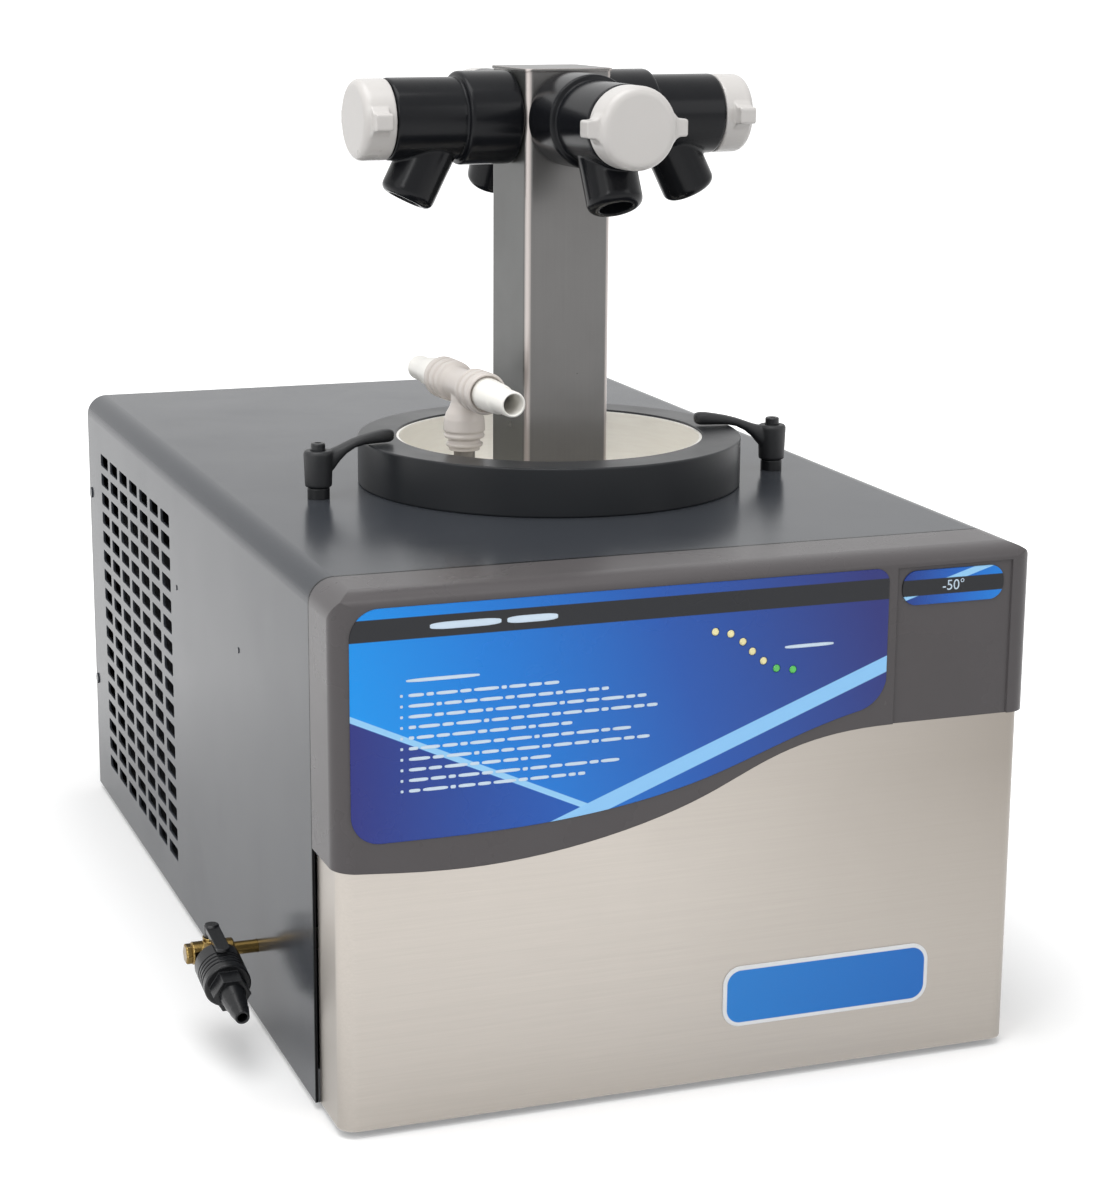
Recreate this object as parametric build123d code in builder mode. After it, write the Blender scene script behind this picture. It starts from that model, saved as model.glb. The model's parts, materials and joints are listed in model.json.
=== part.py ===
"""Bench-top freeze dryer: a refrigerated cold trap in a sheet-metal cabinet, closed by a
lid that carries a square column with four sample valves, a vacuum tee and two clamps.

Millimetres. X runs to the right, Y to the back and Z up. The origin is the centre of the
base pan's underside, and the rubber feet stand below it.
"""

from build123d import *
import os
from math import cos, radians, sin

# ---- cabinet -------------------------------------------------------------------------
cabinet_width = 376.0
cabinet_height = 273.0
cover_length = 572.0
front_depth = 43.0
sheet = 1.5
sheet_gap = 0.2
cover_bend = 13.0
front_seam = 0.3
foot_height = 4.0
foot_radius = 13.0
foot_inset = 34.0
pan_flange = 18.0

# ---- louvres and side rivets ---------------------------------------------------------
louvre_columns = 7
louvre_pitch_y = 31.3
louvre_pitch_z = 13.05
louvre_length = 24.0
louvre_height = 8.0
louvre_corner = 1.6
louvre_from_back = 149.0
louvre_first_z = 28.1
louvre_last_drop = 36.1
rivet_drop = 72.5
rivet_from_front = (147.0, 301.0)
rivet_head_radius = 1.6
rivet_head_height = 0.4
rivet_shank_radius = 1.0

# ---- front panel and bezel -----------------------------------------------------------
panel_sheet = 1.2
panel_corner = 9.0
panel_drop = 68.0
bezel_wall = 2.5
bezel_corner = 11.0
bezel_crown_depth = 14.7
bezel_crown_drop = 6.2
bezel_left_drop = 137.0
bezel_dip_drop = 140.7
bezel_dip_inset = 73.0
bezel_rise_x = 5.0
bezel_rise_drop = 116.8
bezel_right_drop = 89.4
bezel_step_inset = 79.0
bezel_strip_inset = 13.0
bezel_recess = 1.2
bezel_wave_lean = 0.08
label_thickness = 0.4
label_left_inset = 8.0
label_right_inset = 84.0
label_top_drop = 6.8
label_bottom_drop = 123.5
label_rise = 16.0
label_right_bottom_drop = 80.5
label_corner = 15.0
label_lean = 0.22
badge_thickness = 0.8
temperature_badge_inset = 47.0
temperature_badge_drop = 18.5
temperature_badge_size = (58.0, 18.0)
temperature_badge_corner = 8.1
blank_badge_inset = 111.0
blank_badge_z = 44.5
blank_badge_size = (118.0, 33.0)
blank_badge_corner = 9.9
lamp_radius = 1.9
lamp_proud = 0.5
lamp_hole_gap = 0.15
amber_lamp_drops = ((8.3, 32.2), (16.7, 33.9), (23.4, 38.5), (28.7, 43.9), (34.9, 49.3))
green_lamp_drops = ((42.2, 53.8), (51.3, 55.2))
board_thickness = 1.6
board_standoff = 6.0
board_margin = 9.0
board_post_radius = 2.5
board_post_inset = 3.0

# ---- cold trap -----------------------------------------------------------------------
trap_x = 8.5
trap_y = -66.5
chamber_inner_radius = 90.0
chamber_wall = 1.5
chamber_flange = 10.0
chamber_spigot_radius = 4.0
chamber_spigot_length = 7.0
chamber_spigot_wall = 1.0
coil_tube_radius = 4.0
coil_clearance = 0.5
coil_above_floor = 17.8
coil_top_drop = 33.5
coil_pitch = 17.0
jacket_wall = 24.5
jacket_bottom = 12.0
jacket_top_gap = 0.5
jacket_hole_margin = 4.0

# ---- lid -----------------------------------------------------------------------------
lid_turn = 3.3
ring_skirt = 8.0
ring_height = 27.0
ring_edge = 1.0
gasket_thickness = 2.0
dish_clearance = 2.5
dish_wall = 1.5
dish_floor_below_top = 8.0
dish_floor = 2.0
column_side = 51.2
column_wall = 2.0
column_corner = 4.0
column_cap_gap = 0.1
column_cap_thickness = 1.5
column_cap_overhang = 0.6

# ---- sample valves -------------------------------------------------------------------
valve_axis_height = 205.8
valve_shoulder_margin = 0.1
valve_shoulder_end = 57.5
valve_body_radius = 22.3
valve_body_end = 98.5
valve_bore_radius = 15.0
valve_shoulder_round = 1.6
valve_end_round = 1.0
nipple_radius = 17.0
nipple_wall = 1.5
nipple_gap = 0.05
nipple_end = 56.0
port_tilt = 27.0
port_start = 65.0
port_length = 49.0
port_radius = 15.2
port_bore_radius = 9.0
port_round = 4.4
knob_gap = 0.4
knob_lip = 0.3
knob_end = 117.0
knob_edge_round = 4.6
knob_wing_span = 58.0
knob_wing_height = 9.0
knob_wing_length = 9.6
knob_wing_gap = 4.8
knob_wing_round = 1.5
plug_clearance = 0.1
plug_port_margin = 0.6
plug_wall = 3.5
plug_start = 62.0

# ---- vacuum tee ----------------------------------------------------------------------
tee_x = -63.2
tee_y = -27.5
tee_height = 62.3
tee_arm = 34.0
tee_collar_start = 15.0
tee_collar_flare = 5.0
tee_collar_radius = 11.3
tee_groove_from_end = 7.0
tee_groove_width = 1.0
tee_groove_depth = 0.6
tee_lip_length = 2.5
tee_lip_depth = 1.0
tee_run_radius = 8.8
tee_leg_radius = 6.6
tee_bore_radius = 6.2
tee_passage_radius = 4.5
stub_radius = 5.9
stub_wall = 1.2
collet_radius = 8.6
collet_length = 1.8
barb_shoulder_radius = 8.7
barb_shoulder_end = 54.0
barb_tip_radius = 6.9
barb_end = 72.0
barb_stem_radius = 6.1
barb_ramp = 2.5
barb_edge = 0.6

# ---- clamps --------------------------------------------------------------------------
clamp_left_bearing = 184.58
clamp_left_gap = 30.75
clamp_right_bearing = -5.18
clamp_right_gap = 25.55
clamp_left_aim = 12.0
clamp_right_aim = 170.0
clamp_collar_radius = 6.2
clamp_collar_height = 6.3
clamp_stud_radius = 4.0
clamp_stud_below = 14.0
clamp_hub_radius = 8.0
clamp_hub_top = 27.0
clamp_insert_radius = 5.5
clamp_insert_top = 15.0
clamp_screw_head_radius = 4.0
clamp_screw_head_top = 31.0
clamp_screw_head_height = 5.5
clamp_screw_radius = 2.0
clamp_lift = 4.0
clamp_clearance = 0.15
clamp_arm_length = 47.0
clamp_arm_width = 9.0
clamp_arm_waist = 1.0
clamp_arm_mid_depth = 5.6
clamp_arm_tip_depth = 7.7
clamp_arm_pad_length = 23.0
clamp_arm_sag = 4.0
clamp_arm_sag_share = 0.65
clamp_arm_waist_share = 0.55
clamp_tip_gap = 0.3
clamp_spring_wire = 0.35
clamp_spring_turns = 4.0
clamp_spring_gap = 0.05
clamp_edge = 0.5

# ---- drain valve ---------------------------------------------------------------------
drain_y = -146.6
drain_z = 42.0
drain_reach = 25.0
drain_pipe_radius = 3.6
drain_pipe_wall = 0.9
drain_body_radius = 6.2
drain_body_length = 23.0
drain_cap_length = 3.4
drain_boss_radius = 5.0
drain_boss_height = 8.4
drain_tilt = 10.0
drain_outlet_end = 12.5
drain_outlet_radius = 7.6
drain_barrel_radius = 12.6
drain_barrel_end = 37.0
drain_hex_end = 47.0
drain_hex_across = 17.6
drain_barb_end = 69.0
drain_barb_root_radius = 7.2
drain_barb_tip_radius = 4.2
drain_barb_bore = 2.7
drain_barb_steps = 3
drain_barb_step_fall = 1.4
drain_rib_count = 4
drain_rib_depth = 0.7
drain_rib_start_share = 0.38
drain_rib_span_share = 0.5
drain_rib_width_share = 0.45
drain_edge = 0.6
drain_stem_depth = 6.0
drain_post_radius = 4.1
drain_lever_rise = 2.9
drain_lever_length = 25.0
drain_lever_thickness = 1.8
drain_seat_gap = 0.2
hose_radius = 6.0
hose_bore = 4.1
hose_bend = 10.0
hose_overlap = 10.0
hose_grip = 4.0

# ---- refrigeration -------------------------------------------------------------------
condenser_inset = 22.0
condenser_depth = 26.0
condenser_width = 190.0
condenser_drop = 63.0
condenser_bottom = 24.0
condenser_passes = 8
condenser_tube_radius = 3.5
fin_count = 21
fin_groove = 5.5
fin_spine = 9.0
shroud_length = 20.0
shroud_wall = 2.0
fan_margin = 17.0
fan_tip_gap = 3.0
fan_hub_radius = 20.0
fan_hub_length = 16.0
fan_blades = 5
fan_blade_thickness = 1.6
fan_blade_pitch = 32.0
motor_radius = 28.0
motor_length = 34.0
shaft_radius = 3.0
shaft_clearance = 0.05
strut_width = 9.0
compressor_x = 84.0
compressor_from_back = 131.5
compressor_radius = 60.0
compressor_height = 138.0
compressor_stand = 22.0
compressor_dome = 30.0
compressor_band = 4.0
compressor_plate = 3.0
compressor_stub = 8.0
mount_spacing = 88.0
mount_radius = 11.0
drier_radius = 10.0
drier_length = 86.0
line_radius = 4.0
line_stub_wall = 1.0
line_bend_ease = 1.0

# ---- rear panel and electrics --------------------------------------------------------
rear_flange = 12.0
rear_slot_columns = 5
rear_slot_inset = 96.0
rear_slot_first_z = 84.0
rear_slot_last_drop = 57.0
rear_slot_pitch_x = 26.0
rear_slot_pitch_z = 12.0
rear_slot_length = 20.0
rear_slot_height = 5.0
rear_slot_corner = 2.4
inlet_x = 118.0
inlet_z = 62.0
inlet_size = (48.0, 28.0)
inlet_depth = 26.0
inlet_flange = 3.0
inlet_margin = 5.0
inlet_corner = 3.0
inlet_socket_size = (24.6, 16.4)
inlet_socket_depth = 16.0
inlet_socket_bevel = 4.9
inlet_cut_gap = 0.2
inlet_pin_size = (2.0, 4.0)
inlet_pin_spread = 7.0
inlet_pin_rise = 2.0
inlet_pin_length = 11.2
switch_offset = 36.0
switch_size = (22.0, 28.0)
rocker_width = 14.0
rocker_gap = 0.4
rocker_proud = 3.5
rocker_radius = 11.0
rocker_tilt = 9.0
control_box_width = 96.0
control_box_depth = 34.0
control_box_height = 62.0
control_box_corner = 4.0
control_box_edge = 1.5
control_box_inset = 128.0
control_box_drop = 95.0
screw_head_radius = 3.6
screw_head_height = 0.8
screw_shank_radius = 1.8
screw_hole_gap = 0.1

# ---- places that follow from the sizes -----------------------------------------------
total_length = cover_length + front_depth
back_y = total_length / 2
front_y = -total_length / 2
cover_front_y = front_y + front_depth
cover_inner_x = cabinet_width / 2 - sheet
panel_outer_x = cabinet_width / 2 - bezel_wall
panel_front_y = front_y + bezel_wall
louvre_span = cabinet_height - louvre_last_drop - louvre_first_z
louvre_rows = round(louvre_span / louvre_pitch_z) + 1
louvre_mid_y = back_y - louvre_from_back
louvre_mid_z = louvre_first_z + (louvre_rows - 1) * louvre_pitch_z / 2
rivets_yz = [
    (front_y + front_depth + distance, cabinet_height - rivet_drop)
    for distance in rivet_from_front
]
bezel_left_z = cabinet_height - bezel_left_drop
bezel_dip_x = bezel_dip_inset - cabinet_width / 2
bezel_dip_z = cabinet_height - bezel_dip_drop
bezel_rise_z = cabinet_height - bezel_rise_drop
bezel_right_z = cabinet_height - bezel_right_drop
bezel_step_x = cabinet_width / 2 - bezel_step_inset
bezel_strip_x = cabinet_width / 2 - bezel_strip_inset
label_left = label_left_inset - cabinet_width / 2
label_right = cabinet_width / 2 - label_right_inset
label_top = cabinet_height - label_top_drop
label_bottom = cabinet_height - label_bottom_drop
label_right_bottom = cabinet_height - label_right_bottom_drop
temperature_badge_x = cabinet_width / 2 - temperature_badge_inset
temperature_badge_z = cabinet_height - temperature_badge_drop
blank_badge_x = cabinet_width / 2 - blank_badge_inset
amber_lamps_xz = [(x, cabinet_height - drop) for x, drop in amber_lamp_drops]
green_lamps_xz = [(x, cabinet_height - drop) for x, drop in green_lamp_drops]
chamber_outer_radius = chamber_inner_radius + chamber_wall
flange_radius = chamber_outer_radius + chamber_flange
ring_outer_radius = flange_radius + ring_skirt
ring_top_z = cabinet_height + ring_height
dish_inner_radius = chamber_inner_radius - dish_clearance - dish_wall
chamber_bottom_z = drain_z + hose_radius + jacket_bottom + sheet_gap
knob_radius = valve_body_radius - knob_lip
drain_post_top = drain_barrel_radius + drain_lever_rise
condenser_x = condenser_inset - cabinet_width / 2
condenser_height = cabinet_height - condenser_drop - condenser_bottom
fan_radius = min(condenser_width, condenser_height) / 2 - fan_margin
compressor_y = back_y - compressor_from_back
valve_shoulder_radius = column_side / 2 - valve_shoulder_margin
column_cap_z = valve_axis_height + valve_shoulder_radius + column_cap_gap
column_top = column_cap_z + column_cap_thickness
side_screw_z = (cabinet_height * 0.28, cabinet_height * 0.76)
side_screw_y = back_y - rear_flange / 2
rear_screws_xz = (
    (-cabinet_width * 0.4, pan_flange / 2),
    (cabinet_width * 0.4, pan_flange / 2),
)
up = Vector(0, 0, 1)


def around_trap(bearing, gap):
    """X and Y of a point outside the lid's ring, at a bearing from the trap's axis."""
    distance = ring_outer_radius + gap
    heading = radians(bearing)
    return trap_x + distance * cos(heading), trap_y + distance * sin(heading)


clamp_left_xy = around_trap(clamp_left_bearing, clamp_left_gap)
clamp_right_xy = around_trap(clamp_right_bearing, clamp_right_gap)

os.makedirs("parts", exist_ok=True)


def write(piece, name):
    """Labels a finished piece and writes it as its own STEP file."""
    piece.part.label = name
    export_step(piece.part, f"parts/{name}.step")


def facing_front(y):
    """A sketch plane across the cabinet: local X is X, local Y is Z, the normal is -Y."""
    return Plane.XZ.offset(-y)


def facing_right(x):
    """A sketch plane along the cabinet: local X is Y, local Y is Z, the normal is +X."""
    return Plane.YZ.offset(x)


def rounded_box(width, height, radius, **options):
    """A rectangle standing on its local X axis with its two upper corners rounded."""
    box = Rectangle(width, height, align=(Align.CENTER, Align.MIN), **options)
    fillet(box.vertices().group_by(Axis.Y)[-1], radius)


# ---- cabinet shell -------------------------------------------------------------------
with BuildPart() as wrap_cover:
    with BuildSketch(facing_front(cover_front_y)):
        rounded_box(cabinet_width, cabinet_height, cover_bend)
    extrude(amount=-cover_length)
    with BuildSketch(facing_front(cover_front_y)):
        rounded_box(2 * cover_inner_x, cabinet_height - sheet, cover_bend - sheet)
    extrude(amount=-cover_length, mode=Mode.SUBTRACT)
    with BuildSketch(facing_right(-cabinet_width / 2)):
        with Locations((louvre_mid_y, louvre_mid_z)):
            with GridLocations(louvre_pitch_y, louvre_pitch_z, louvre_columns, louvre_rows):
                RectangleRounded(louvre_length, louvre_height, louvre_corner)
        with Locations(*rivets_yz):
            Circle(rivet_shank_radius + screw_hole_gap)
        with Locations(*[(side_screw_y, z) for z in side_screw_z]):
            Circle(screw_shank_radius + screw_hole_gap)
    extrude(amount=cabinet_width, mode=Mode.SUBTRACT)
    with BuildSketch(Plane.XY.offset(cabinet_height)):
        with Locations((trap_x, trap_y)):
            Circle(chamber_outer_radius + 2 * sheet_gap)
        with Locations(clamp_left_xy, clamp_right_xy):
            Circle(clamp_stud_radius + sheet_gap)
    extrude(amount=-cabinet_height / 2, mode=Mode.SUBTRACT)
    with BuildSketch(facing_right(-cabinet_width / 2)):
        with Locations((drain_y, drain_z)):
            Circle(drain_pipe_radius + sheet_gap)
    extrude(amount=cabinet_width / 2, mode=Mode.SUBTRACT)
write(wrap_cover, "wrap_cover")

pan_half_width = cover_inner_x - sheet_gap
pan_back_y = back_y - sheet - sheet_gap
tongue_half_width = panel_outer_x - panel_sheet - sheet_gap
tongue_front_y = panel_front_y + panel_sheet + sheet_gap
with BuildPart() as base_pan:
    with BuildSketch(Plane.XY):
        with BuildLine():
            Polyline(
                (-pan_half_width, pan_back_y),
                (-pan_half_width, cover_front_y),
                (-tongue_half_width, cover_front_y),
                (-tongue_half_width, tongue_front_y),
                (0, tongue_front_y),
                (0, pan_back_y),
                close=True,
            )
        make_face()
        mirror(about=Plane.YZ)
    extrude(amount=pan_flange)
    with BuildSketch(Plane.XY.offset(sheet)):
        with BuildLine():
            Polyline(
                (-pan_half_width + sheet, pan_back_y - sheet),
                (-pan_half_width + sheet, cover_front_y + sheet),
                (-tongue_half_width + panel_corner, cover_front_y + sheet),
                (-tongue_half_width + panel_corner, tongue_front_y + sheet),
                (0, tongue_front_y + sheet),
                (0, pan_back_y - sheet),
                close=True,
            )
        make_face()
        mirror(about=Plane.YZ)
    extrude(amount=pan_flange, mode=Mode.SUBTRACT)
    front_corners = base_pan.edges().filter_by(Axis.Z).group_by(Axis.Y)[0]
    fillet(front_corners, panel_corner - panel_sheet)
    with BuildSketch(facing_front(pan_back_y)):
        with Locations(*rear_screws_xz):
            Circle(screw_shank_radius + screw_hole_gap)
    extrude(amount=2 * sheet, mode=Mode.SUBTRACT)
write(base_pan, "base_pan")

with BuildPart() as feet:
    with BuildSketch(Plane.XY):
        with GridLocations(
            cabinet_width - 2 * foot_inset, cover_length - 2 * foot_inset, 2, 2
        ):
            Circle(foot_radius)
    extrude(amount=-foot_height)
    chamfer(feet.edges().group_by(Axis.Z)[0], foot_height / 4)
write(feet, "feet")

# ---- front panel ---------------------------------------------------------------------
panel_top_z = cabinet_height - panel_drop
with BuildPart() as front_panel:
    with BuildSketch(Plane.XY):
        with Locations((0, panel_front_y)):
            panel_outline = Rectangle(
                2 * panel_outer_x,
                cover_front_y - front_seam - panel_front_y,
                align=(Align.CENTER, Align.MIN),
            )
        fillet(panel_outline.vertices().group_by(Axis.Y)[0], panel_corner)
    extrude(amount=panel_top_z)
    with BuildSketch(Plane.XY):
        with Locations((0, panel_front_y + panel_sheet)):
            panel_hollow = Rectangle(
                2 * (panel_outer_x - panel_sheet),
                front_depth,
                align=(Align.CENTER, Align.MIN),
            )
        fillet(panel_hollow.vertices().group_by(Axis.Y)[0], panel_corner - panel_sheet)
    extrude(amount=panel_top_z, mode=Mode.SUBTRACT)
write(front_panel, "front_panel")

# ---- moulded bezel over the top of the front panel -----------------------------------
bezel_back_y = cover_front_y - front_seam
crown_start_y = front_y + bezel_crown_depth
crown_end_z = cabinet_height - bezel_crown_drop
inner_top_z = cabinet_height - bezel_wall
with BuildPart() as bezel_hollow:
    with BuildSketch(facing_right(-panel_outer_x)):
        with BuildLine():
            Polyline(
                (bezel_back_y, 0),
                (bezel_back_y, inner_top_z),
                (crown_start_y, inner_top_z),
                (panel_front_y, crown_end_z - bezel_wall),
                (panel_front_y, 0),
                close=True,
            )
        make_face()
    extrude(amount=2 * panel_outer_x)
    with BuildSketch(Plane.XY):
        with Locations((0, panel_front_y)):
            hollow_plan = Rectangle(
                2 * panel_outer_x, front_depth, align=(Align.CENTER, Align.MIN)
            )
        fillet(hollow_plan.vertices().group_by(Axis.Y)[0], panel_corner)
    extrude(amount=cabinet_height, mode=Mode.INTERSECT)
    with BuildSketch(facing_front(bezel_back_y)):
        rounded_box(2 * panel_outer_x, inner_top_z, cover_bend - bezel_wall)
    extrude(amount=front_depth, mode=Mode.INTERSECT)

lamp_places = amber_lamps_xz + green_lamps_xz
lamp_x = [x for x, _ in lamp_places]
lamp_z = [z for _, z in lamp_places]
board_width = max(lamp_x) - min(lamp_x) + 2 * board_margin
board_height = max(lamp_z) - min(lamp_z) + 2 * board_margin
board_centre = ((max(lamp_x) + min(lamp_x)) / 2, (max(lamp_z) + min(lamp_z)) / 2)
board_y = panel_front_y + board_standoff
with BuildPart() as front_bezel:
    with BuildSketch(facing_right(-cabinet_width / 2)):
        with BuildLine():
            crown = EllipticalCenterArc(
                (crown_start_y, crown_end_z),
                bezel_crown_depth,
                bezel_crown_drop,
                start_angle=90,
                arc_size=90,
            )
            Line(crown @ 1, (front_y, 0))
            Line((front_y, 0), (bezel_back_y, 0))
            Line((bezel_back_y, 0), (bezel_back_y, cabinet_height))
            Line((bezel_back_y, cabinet_height), crown @ 0)
        make_face()
    extrude(amount=cabinet_width)
    with BuildSketch(Plane.XY):
        with Locations((0, front_y)):
            bezel_plan = Rectangle(
                cabinet_width, front_depth, align=(Align.CENTER, Align.MIN)
            )
        fillet(bezel_plan.vertices().group_by(Axis.Y)[0], bezel_corner)
    extrude(amount=cabinet_height, mode=Mode.INTERSECT)
    with BuildSketch(facing_front(bezel_back_y)):
        rounded_box(cabinet_width, cabinet_height, cover_bend)
    extrude(amount=front_depth, mode=Mode.INTERSECT)
    with BuildSketch(facing_front(front_y)):
        with Locations(((bezel_step_x + bezel_strip_x) / 2, 0)):
            Rectangle(
                bezel_strip_x - bezel_step_x,
                crown_end_z - bezel_recess,
                align=(Align.CENTER, Align.MIN),
            )
    extrude(amount=-bezel_recess, mode=Mode.SUBTRACT)
    with BuildSketch(facing_front(front_y)):
        with BuildLine():
            wave = Spline(
                (-cabinet_width / 2, bezel_left_z),
                (bezel_dip_x, bezel_dip_z),
                (bezel_rise_x, bezel_rise_z),
                (bezel_step_x, bezel_right_z),
                tangents=((1, -bezel_wave_lean), (1, 0)),
            )
            Line(wave @ 1, (cabinet_width / 2, bezel_right_z))
            Line((cabinet_width / 2, bezel_right_z), (cabinet_width / 2, 0))
            Line((cabinet_width / 2, 0), (-cabinet_width / 2, 0))
            Line((-cabinet_width / 2, 0), wave @ 0)
        make_face()
    extrude(amount=-front_depth, mode=Mode.SUBTRACT)
    add(bezel_hollow.part, mode=Mode.SUBTRACT)
    with BuildSketch(facing_front(board_y)):
        with Locations(board_centre):
            with GridLocations(
                board_width - 2 * board_post_inset, board_height - 2 * board_post_inset, 2, 2
            ):
                Circle(board_post_radius)
    extrude(amount=board_standoff)
    with BuildSketch(facing_front(front_y)):
        with Locations(*lamp_places):
            Circle(lamp_radius + lamp_hole_gap)
    extrude(amount=-board_standoff, mode=Mode.SUBTRACT)
write(front_bezel, "front_bezel")

with BuildPart() as control_label:
    with BuildSketch(facing_front(front_y)):
        with BuildLine():
            lower = Spline(
                (label_left + label_corner, label_bottom),
                (label_left + 4 * label_corner, label_bottom),
                (bezel_rise_x, label_bottom + label_rise),
                (label_right - label_corner, label_right_bottom),
                tangents=((1, 0), (1, label_lean)),
            )
            right_up = TangentArc(
                lower @ 1, (label_right, label_right_bottom + label_corner), tangent=lower % 1
            )
            Line(right_up @ 1, (label_right, label_top - label_corner / 2))
            RadiusArc(
                (label_right, label_top - label_corner / 2),
                (label_right - label_corner / 2, label_top),
                -label_corner / 2,
            )
            Line(
                (label_right - label_corner / 2, label_top),
                (label_left + label_corner, label_top),
            )
            RadiusArc(
                (label_left + label_corner, label_top),
                (label_left, label_top - label_corner),
                -label_corner,
            )
            Line(
                (label_left, label_top - label_corner),
                (label_left, label_bottom + label_corner),
            )
            RadiusArc(
                (label_left, label_bottom + label_corner),
                (label_left + label_corner, label_bottom),
                -label_corner,
            )
        make_face()
        with Locations(*lamp_places):
            Circle(lamp_radius + lamp_hole_gap, mode=Mode.SUBTRACT)
    extrude(amount=label_thickness)
write(control_label, "control_label")

with BuildPart() as temperature_badge:
    with BuildSketch(facing_front(front_y + bezel_recess)):
        with Locations((temperature_badge_x, temperature_badge_z)):
            RectangleRounded(*temperature_badge_size, temperature_badge_corner)
    extrude(amount=badge_thickness)
write(temperature_badge, "temperature_badge")

with BuildPart() as blank_badge:
    with BuildSketch(facing_front(panel_front_y)):
        with Locations((blank_badge_x, blank_badge_z)):
            RectangleRounded(*blank_badge_size, blank_badge_corner)
    extrude(amount=badge_thickness)
    chamfer(blank_badge.faces().sort_by(Axis.Y)[0].edges(), badge_thickness / 3)
write(blank_badge, "blank_badge")

for name, places in (("amber_lamps", amber_lamps_xz), ("green_lamps", green_lamps_xz)):
    with BuildPart() as lamps:
        with BuildSketch(facing_front(board_y)):
            with Locations(*places):
                Circle(lamp_radius)
        extrude(amount=board_y - front_y + label_thickness + lamp_proud)
        chamfer(lamps.faces().group_by(Axis.Y)[0].edges(), lamp_proud)
    write(lamps, name)

with BuildPart() as indicator_board:
    with BuildSketch(facing_front(board_y)):
        with Locations(board_centre):
            Rectangle(board_width, board_height)
    extrude(amount=-board_thickness)
write(indicator_board, "indicator_board")

# ---- cold trap chamber ---------------------------------------------------------------
trap_side = Plane(origin=(trap_x, trap_y, 0), x_dir=(1, 0, 0), z_dir=(0, -1, 0))
trap_axis = Axis((trap_x, trap_y, 0), (0, 0, 1))
flange_top_z = cabinet_height + chamber_wall
with BuildPart() as trap_chamber:
    with BuildSketch(trap_side):
        with BuildLine():
            Polyline(
                (0, chamber_bottom_z),
                (chamber_outer_radius, chamber_bottom_z),
                (chamber_outer_radius, cabinet_height),
                (flange_radius, cabinet_height),
                (flange_radius, flange_top_z),
                (0, flange_top_z),
                close=True,
            )
        make_face()
    revolve(axis=trap_axis)
    fillet(trap_chamber.edges().group_by(Axis.Z)[0], 4 * chamber_wall)
    with BuildSketch(Plane.XY.offset(chamber_bottom_z)):
        with Locations((trap_x, trap_y)):
            Circle(chamber_spigot_radius)
    extrude(amount=-chamber_spigot_length)
    with BuildSketch(trap_side):
        with BuildLine():
            Polyline(
                (0, chamber_bottom_z + chamber_wall),
                (chamber_inner_radius - 3 * chamber_wall, chamber_bottom_z + chamber_wall),
                (chamber_inner_radius, chamber_bottom_z + 4 * chamber_wall),
                (chamber_inner_radius, flange_top_z),
                (0, flange_top_z),
                close=True,
            )
        make_face()
    revolve(axis=trap_axis, mode=Mode.SUBTRACT)
    with BuildSketch(Plane.XY.offset(chamber_bottom_z + chamber_wall)):
        with Locations((trap_x, trap_y)):
            Circle(chamber_spigot_radius - chamber_spigot_wall)
    extrude(amount=-chamber_spigot_length - 2 * chamber_wall, mode=Mode.SUBTRACT)
write(trap_chamber, "trap_chamber")

coil_radius = chamber_outer_radius + coil_clearance + coil_tube_radius
coil_bottom_z = chamber_bottom_z + coil_above_floor
coil_span = cabinet_height - coil_top_drop - coil_bottom_z
coil_turns = round(coil_span / coil_pitch - 0.5) + 0.5
coil_height = coil_turns * coil_pitch
coil_top_z = coil_bottom_z + coil_height
coil_left_x = trap_x - coil_radius
coil_right_x = trap_x + coil_radius
coil_base = Plane(origin=(trap_x, trap_y, coil_bottom_z), x_dir=(-1, 0, 0), z_dir=(0, 0, 1))
with BuildPart() as evaporator_coil:
    with BuildLine(coil_base) as coil_path:
        Helix(pitch=coil_pitch, height=coil_height, radius=coil_radius)
    with BuildSketch(Plane(origin=coil_path.line @ 0, z_dir=coil_path.line % 0)):
        Circle(coil_tube_radius)
    sweep(path=coil_path.line, is_frenet=True)
write(evaporator_coil, "evaporator_coil")

jacket_inner_radius = coil_radius + coil_tube_radius + coil_clearance
jacket_outer_radius = jacket_inner_radius + jacket_wall
jacket_bottom_z = chamber_bottom_z - jacket_bottom
jacket_top_z = cabinet_height - sheet - jacket_top_gap
with BuildPart() as insulation_jacket:
    with BuildSketch(Plane.XY.offset(jacket_bottom_z)):
        with Locations((trap_x, trap_y)):
            Circle(jacket_outer_radius)
            Circle(hose_radius + jacket_hole_margin, mode=Mode.SUBTRACT)
    extrude(amount=jacket_top_z - jacket_bottom_z)
    with BuildSketch(Plane.XY.offset(chamber_bottom_z)):
        with Locations((trap_x, trap_y)):
            Circle(jacket_inner_radius)
    extrude(amount=jacket_top_z, mode=Mode.SUBTRACT)
    with BuildSketch(facing_front(trap_y)):
        with Locations((coil_left_x, coil_bottom_z), (coil_right_x, coil_top_z)):
            Circle(coil_tube_radius + coil_clearance)
    extrude(amount=-jacket_outer_radius, mode=Mode.SUBTRACT)
write(insulation_jacket, "insulation_jacket")

# ---- lid: ring, gasket and dish ------------------------------------------------------
turn = radians(lid_turn)
lid_base = Plane(
    origin=(trap_x, trap_y, cabinet_height), x_dir=(cos(turn), sin(turn), 0), z_dir=(0, 0, 1)
)
gasket_top_z = flange_top_z + gasket_thickness
dish_outer_radius = dish_inner_radius + dish_wall
dish_floor_top_z = cabinet_height - dish_floor_below_top
with BuildPart() as lid_gasket:
    with BuildSketch(Plane.XY.offset(flange_top_z)):
        with Locations((trap_x, trap_y)):
            Circle(flange_radius)
            Circle(chamber_inner_radius, mode=Mode.SUBTRACT)
    extrude(amount=gasket_thickness)
write(lid_gasket, "lid_gasket")

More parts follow.
